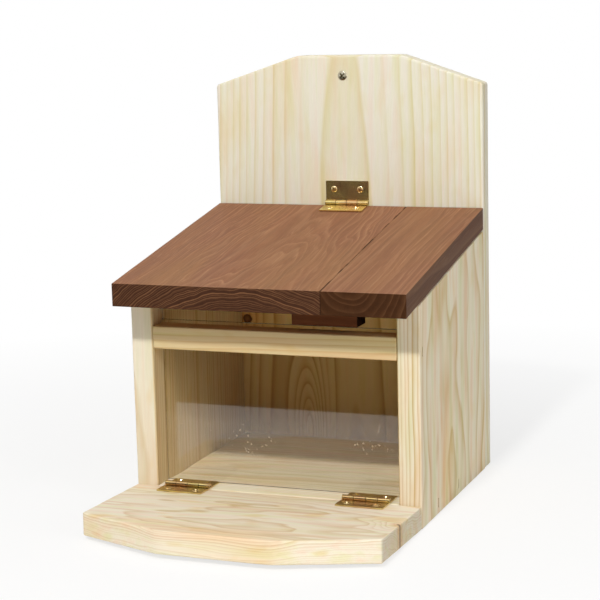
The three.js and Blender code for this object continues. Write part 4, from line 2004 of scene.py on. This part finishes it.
@dataclass
class Platform:
    """The landing platform with its two front corners cut off."""

    hinges: dict[str, Hinge]
    finish: PlanedPine = PlanedPine(
        early="#f6ecd6",
        late="#d9bb8c",
        glow="#f3dcc4",
        heart="#a58d6c",
        bark="#857056",
        contrast=0.85,
        blotches=0.55,
    )
    nose_depth: float = 28.5
    corner_width: float = 73.0
    back: float = -0.3
    front: float = -122.0
    tilt: float = 1.8

    def build(self) -> None:
        """Make the board: a block whose front is drawn back beyond the nose's ends, then tilted.

        The front moves back by depth * past / width on each side, with past how far x lies beyond the
        nose, and the bend is eased over a few millimetres. The tilt is about the hinges' pins.
        """
        shift, wide = box_mm("floor_board")[0][1], box_mm("back_board")[1][0]
        low = np.array([-wide, self.front + shift, 0.0])
        high = np.array([wide, self.back + shift, BOARD])
        flat = high[0] - self.corner_width
        easing = Easing(radius=1.5, seed=31, relief=0.1)
        axis = Matrix.Translation(hinge_axis("left_hinge_pin"))
        tilted = axis @ Matrix.Rotation(math.radians(-self.tilt), 4, "X") @ axis.inverted()

        def drawn_back(points: np.ndarray) -> np.ndarray:
            """Draw the front's corners back."""
            back = self.nose_depth * eased_past(np.abs(points[:, 0]) - flat) / self.corner_width
            return pushed(points, 1, back * (1 - level_share(points, 1, low, high, easing)))

        surface = board_surface(low, high, easing, drawn_back, ((-flat, flat), (), ())).moved(tilted)
        cutters = lower_bores(self.hinges, "platform")
        growth = Growth(
            pith=(0.0, -112.0, -230.0),
            grain=(1.0, 0.02, 0.012),
            ring=2.0,
            wander=4.0,
            wander_across=30.0,
            wander_along=125.0,
            seed=1.7,
            knots=(Knot((117.0, -91.5, 18.0), (-0.01, 0.05, 1.0), 1.5, reach=10.0, push=15.0),),
        )
        dressing = Dressing(Body.PLATFORM, Slot.PINE, self.finish.build("platform_board", growth))
        finish_piece("platform_board", cut_board("platform_board", surface, cutters), dressing)


# Studio


@dataclass(frozen=True)
class Studio:
    """A pale floor, a key lamp in front, a fill on the right, a soft sky and the photograph's camera.

    The camera's place, angles and lens come from matching the box's straight edges in a frame of 600
    by 600 pixels.
    """

    camera_place: Triple = (498.7, -1255.4, 395.4)
    azimuth: float = 21.283
    elevation: float = 9.733
    roll: float = -1.479
    lens: float = 105.8
    key_from: Triple = (0.02, -0.675, 0.737)
    key_size: float = 210.0
    key_power: float = 41.5
    fill_from: Triple = (0.86, -0.36, 0.36)
    fill_size: float = 1100.0
    fill_power: float = 13.5
    lamp_distance: float = 2600.0
    sky: float = 0.74
    floor_size: float = 8000.0
    floor_colour: str = "#f7f6f3"
    white_near: float = 0.72
    fade_from: float = 0.25
    fade_to: float = 0.8
    card_low: Triple = (-700.0, -328.0, 2.5)
    card_high: Triple = (300.0, -328.0, 275.0)
    card_colour: str = "#685a4c"

    def camera(self) -> None:
        """Place the camera: it looks along the azimuth and elevation and is rolled about its view."""
        turn, drop, lean = (math.radians(v) for v in (self.azimuth, self.elevation, self.roll))
        flat = math.cos(drop)
        ahead = Vector((-math.sin(turn) * flat, math.cos(turn) * flat, -math.sin(drop)))
        level = Vector((math.cos(turn), math.sin(turn), 0))
        over = level.cross(ahead)
        right = level * math.cos(lean) + over * math.sin(lean)
        up = over * math.cos(lean) - level * math.sin(lean)
        data = bpy.data.cameras.new("camera")
        data.lens = self.lens
        data.sensor_width = 36.0
        data.clip_end = 50.0
        camera = bpy.data.objects.new("camera", data)
        bpy.context.scene.collection.objects.link(camera)
        turned = Matrix((right, up, -ahead)).transposed().to_4x4()
        camera.matrix_world = Matrix.Translation(Vector(self.camera_place) * MM) @ turned
        bpy.context.scene.camera = camera

    def looked_at(self, tree: Tree) -> Socket:
        """1 for the rays that show the background: from the camera, from gloss and through glass.

        Args:
            tree: the nodes that it goes into.

        Returns:
            1 or 0.
        """
        seen: Any = 0.0
        for ray in ("Is Camera Ray", "Is Glossy Ray", "Is Transmission Ray"):
            source = add_node(tree, "LightPath", output=ray)
            seen = add_node(tree, "Math", [seen, source], operation="MAXIMUM")
        return seen

    def world(self) -> None:
        """A sky that is dark low down and brightens with height, seen as white."""
        world = bpy.data.worlds.new("studio")
        world.use_nodes = True
        tree = world.node_tree
        tree.nodes.clear()
        direction = add_node(tree, "TexCoord", output="Generated")
        height = add_node(tree, "SeparateXYZ", {"Vector": direction}, "Z")
        upper = add_node(tree, "Math", [height, 0.0], operation="MAXIMUM")
        steeper = add_node(tree, "Math", [upper, upper], operation="MULTIPLY")
        strength = add_node(tree, "Math", [steeper, self.sky], operation="MULTIPLY")
        lit = add_node(tree, "Background", {"Color": linear("#ffffff"), "Strength": strength})
        white = add_node(tree, "Background", {"Color": linear("#ffffff"), "Strength": 1.0})
        mixed = add_node(tree, "MixShader", [self.looked_at(tree), lit, white])
        add_node(tree, "OutputWorld", {"Surface": mixed})
        bpy.context.scene.world = world

    def lamp(self, name: str, place: Triple, size: float, power: float) -> None:
        """A round soft lamp that shines at the origin.

        Args:
            name: the lamp's name.
            place: the direction that it stands in.
            size: its diameter in millimetres.
            power: its power in watts.
        """
        data = bpy.data.lights.new(name, "AREA")
        data.shape = "DISK"
        data.size = size * MM
        data.energy = power
        lamp = bpy.data.objects.new(name, data)
        bpy.context.scene.collection.objects.link(lamp)
        direction = Vector(place).normalized()
        lamp.location = direction * self.lamp_distance * MM
        lamp.rotation_euler = direction.to_track_quat("Z", "Y").to_euler()

    def floor(self) -> None:
        """A wide pale floor that keeps the feeder's shadow and fades to the white background."""
        half = self.floor_size / 2
        corners = [(-half, -half, 0.0), (half, -half, 0.0), (half, half, 0.0), (-half, half, 0.0)]
        floor = self.sheet("floor", corners)
        material, tree = new_material("pale_floor")
        own = add_node(tree, "TexCoord", output="Object")
        away = add_node(tree, "VectorMath", [own], operation="LENGTH")
        share = add_node(tree, "MapRange", [away, self.fade_from, self.fade_to, self.white_near, 1.0])
        shown = add_node(tree, "Math", [self.looked_at(tree), share], operation="MULTIPLY")
        inputs = {"Base Color": linear(self.floor_colour), "Roughness": MATT}
        matt = add_node(tree, "BsdfPrincipled", inputs)
        white = add_node(tree, "Emission", {"Color": linear("#ffffff"), "Strength": 1.0})
        mixed = add_node(tree, "MixShader", [shown, matt, white])
        add_node(tree, "OutputMaterial", {"Surface": mixed})
        floor.data.materials.append(material)

    def card(self) -> None:
        """A dark card in front of the feeder that only gloss and the window show, as a table's end."""
        low, high = self.card_low, self.card_high
        corners = [low, (high[0], low[1], low[2]), high, (low[0], high[1], high[2])]
        card = self.sheet("card", corners)
        material, tree = new_material("dark_card")
        shine(tree, {"Base Color": linear(self.card_colour), "Roughness": MATT})
        card.data.materials.append(material)
        card.visible_camera = False
        card.visible_diffuse = False
        card.visible_shadow = False

    def sheet(self, name: str, corners: list[Triple]) -> Thing:
        """A flat four-cornered sheet.

        Args:
            name: its name.
            corners: its corners in millimetres.

        Returns:
            The object.
        """
        mesh = as_mesh(name, Surface(np.array(corners), [[0, 1, 2, 3]]))
        mesh.transform(Matrix.Scale(MM, 4))
        return as_object(name, mesh)

    def build(self) -> None:
        """Set up the camera, the sky, the two lamps, the floor and the card."""
        self.camera()
        self.world()
        self.lamp("key", self.key_from, self.key_size, self.key_power)
        self.lamp("fill", self.fill_from, self.fill_size, self.fill_power)
        self.floor()
        self.card()
        bpy.context.scene.view_settings.view_transform = "Standard"


# The feeder


def hinge_axis(pin: str) -> Triple:
    """The middle of a packed hinge pin."""
    low, high = box_mm(pin)
    return tuple(float(value) for value in (low + high) / 2)


def make_hinges(lid_slope: float, platform_tilt: float) -> dict[str, Hinge]:
    """The three hinges by name.

    Args:
        lid_slope: the lid's slope in degrees.
        platform_tilt: how far the platform's front is raised, in degrees.

    Returns:
        The hinges, each with its leaves as name, body, tilt and turn.
    """
    hinges = {
        "top_hinge": Hinge(
            "top_hinge",
            hinge_axis("top_hinge_pin"),
            (("top_hinge_back", Body.BOX, 90.0, 0.0), ("top_hinge_lid", Body.LID, lid_slope, 180.0)),
            (38.0, 71.0, 12.0, 55.0),
        )
    }
    for side, turns in ((Side.LEFT, (15.0, 64.0, 33.0, 80.0)), (Side.RIGHT, (52.0, 8.0, 47.0, 21.0))):
        name = f"{side.word}_hinge"
        fixed = (f"{name}_floor", Body.BOX, 0.0, 0.0)
        moving = (f"{name}_platform", Body.PLATFORM, -platform_tilt, 180.0)
        hinges[name] = Hinge(name, hinge_axis(f"{name}_pin"), (fixed, moving), turns)
    return hinges


def main() -> None:
    """Build the studio and the feeder, class by class."""
    logging.basicConfig(level=logging.INFO, format="%(name)s: %(message)s")
    Studio().build()
    hinges = make_hinges(Lid.slope, Platform.tilt)
    fixings = Fixings()
    BoxBoards(fixings, hinges).build()
    Window().build()
    Lid(hinges["top_hinge"]).build()
    Platform(hinges).build()
    brasses = Brasses(
        RolledBrass().build("rolled_brass"),
        # The screws' lighter copy of the brass is a painted highlight that makes the heads stand out
        RolledBrass("#f0dfae", "#cdae70", "#d8ab82", roughness=0.18).build("bright_brass"),
        RolledBrass("#8a7548", "#57462b", "#6a4a34", roughness=0.4).build("dull_brass"),
    )
    for hinge in hinges.values():
        hinge.build(brasses)
    fixings.build(ZincPlate().build())


if __name__ == "__main__":
    main()
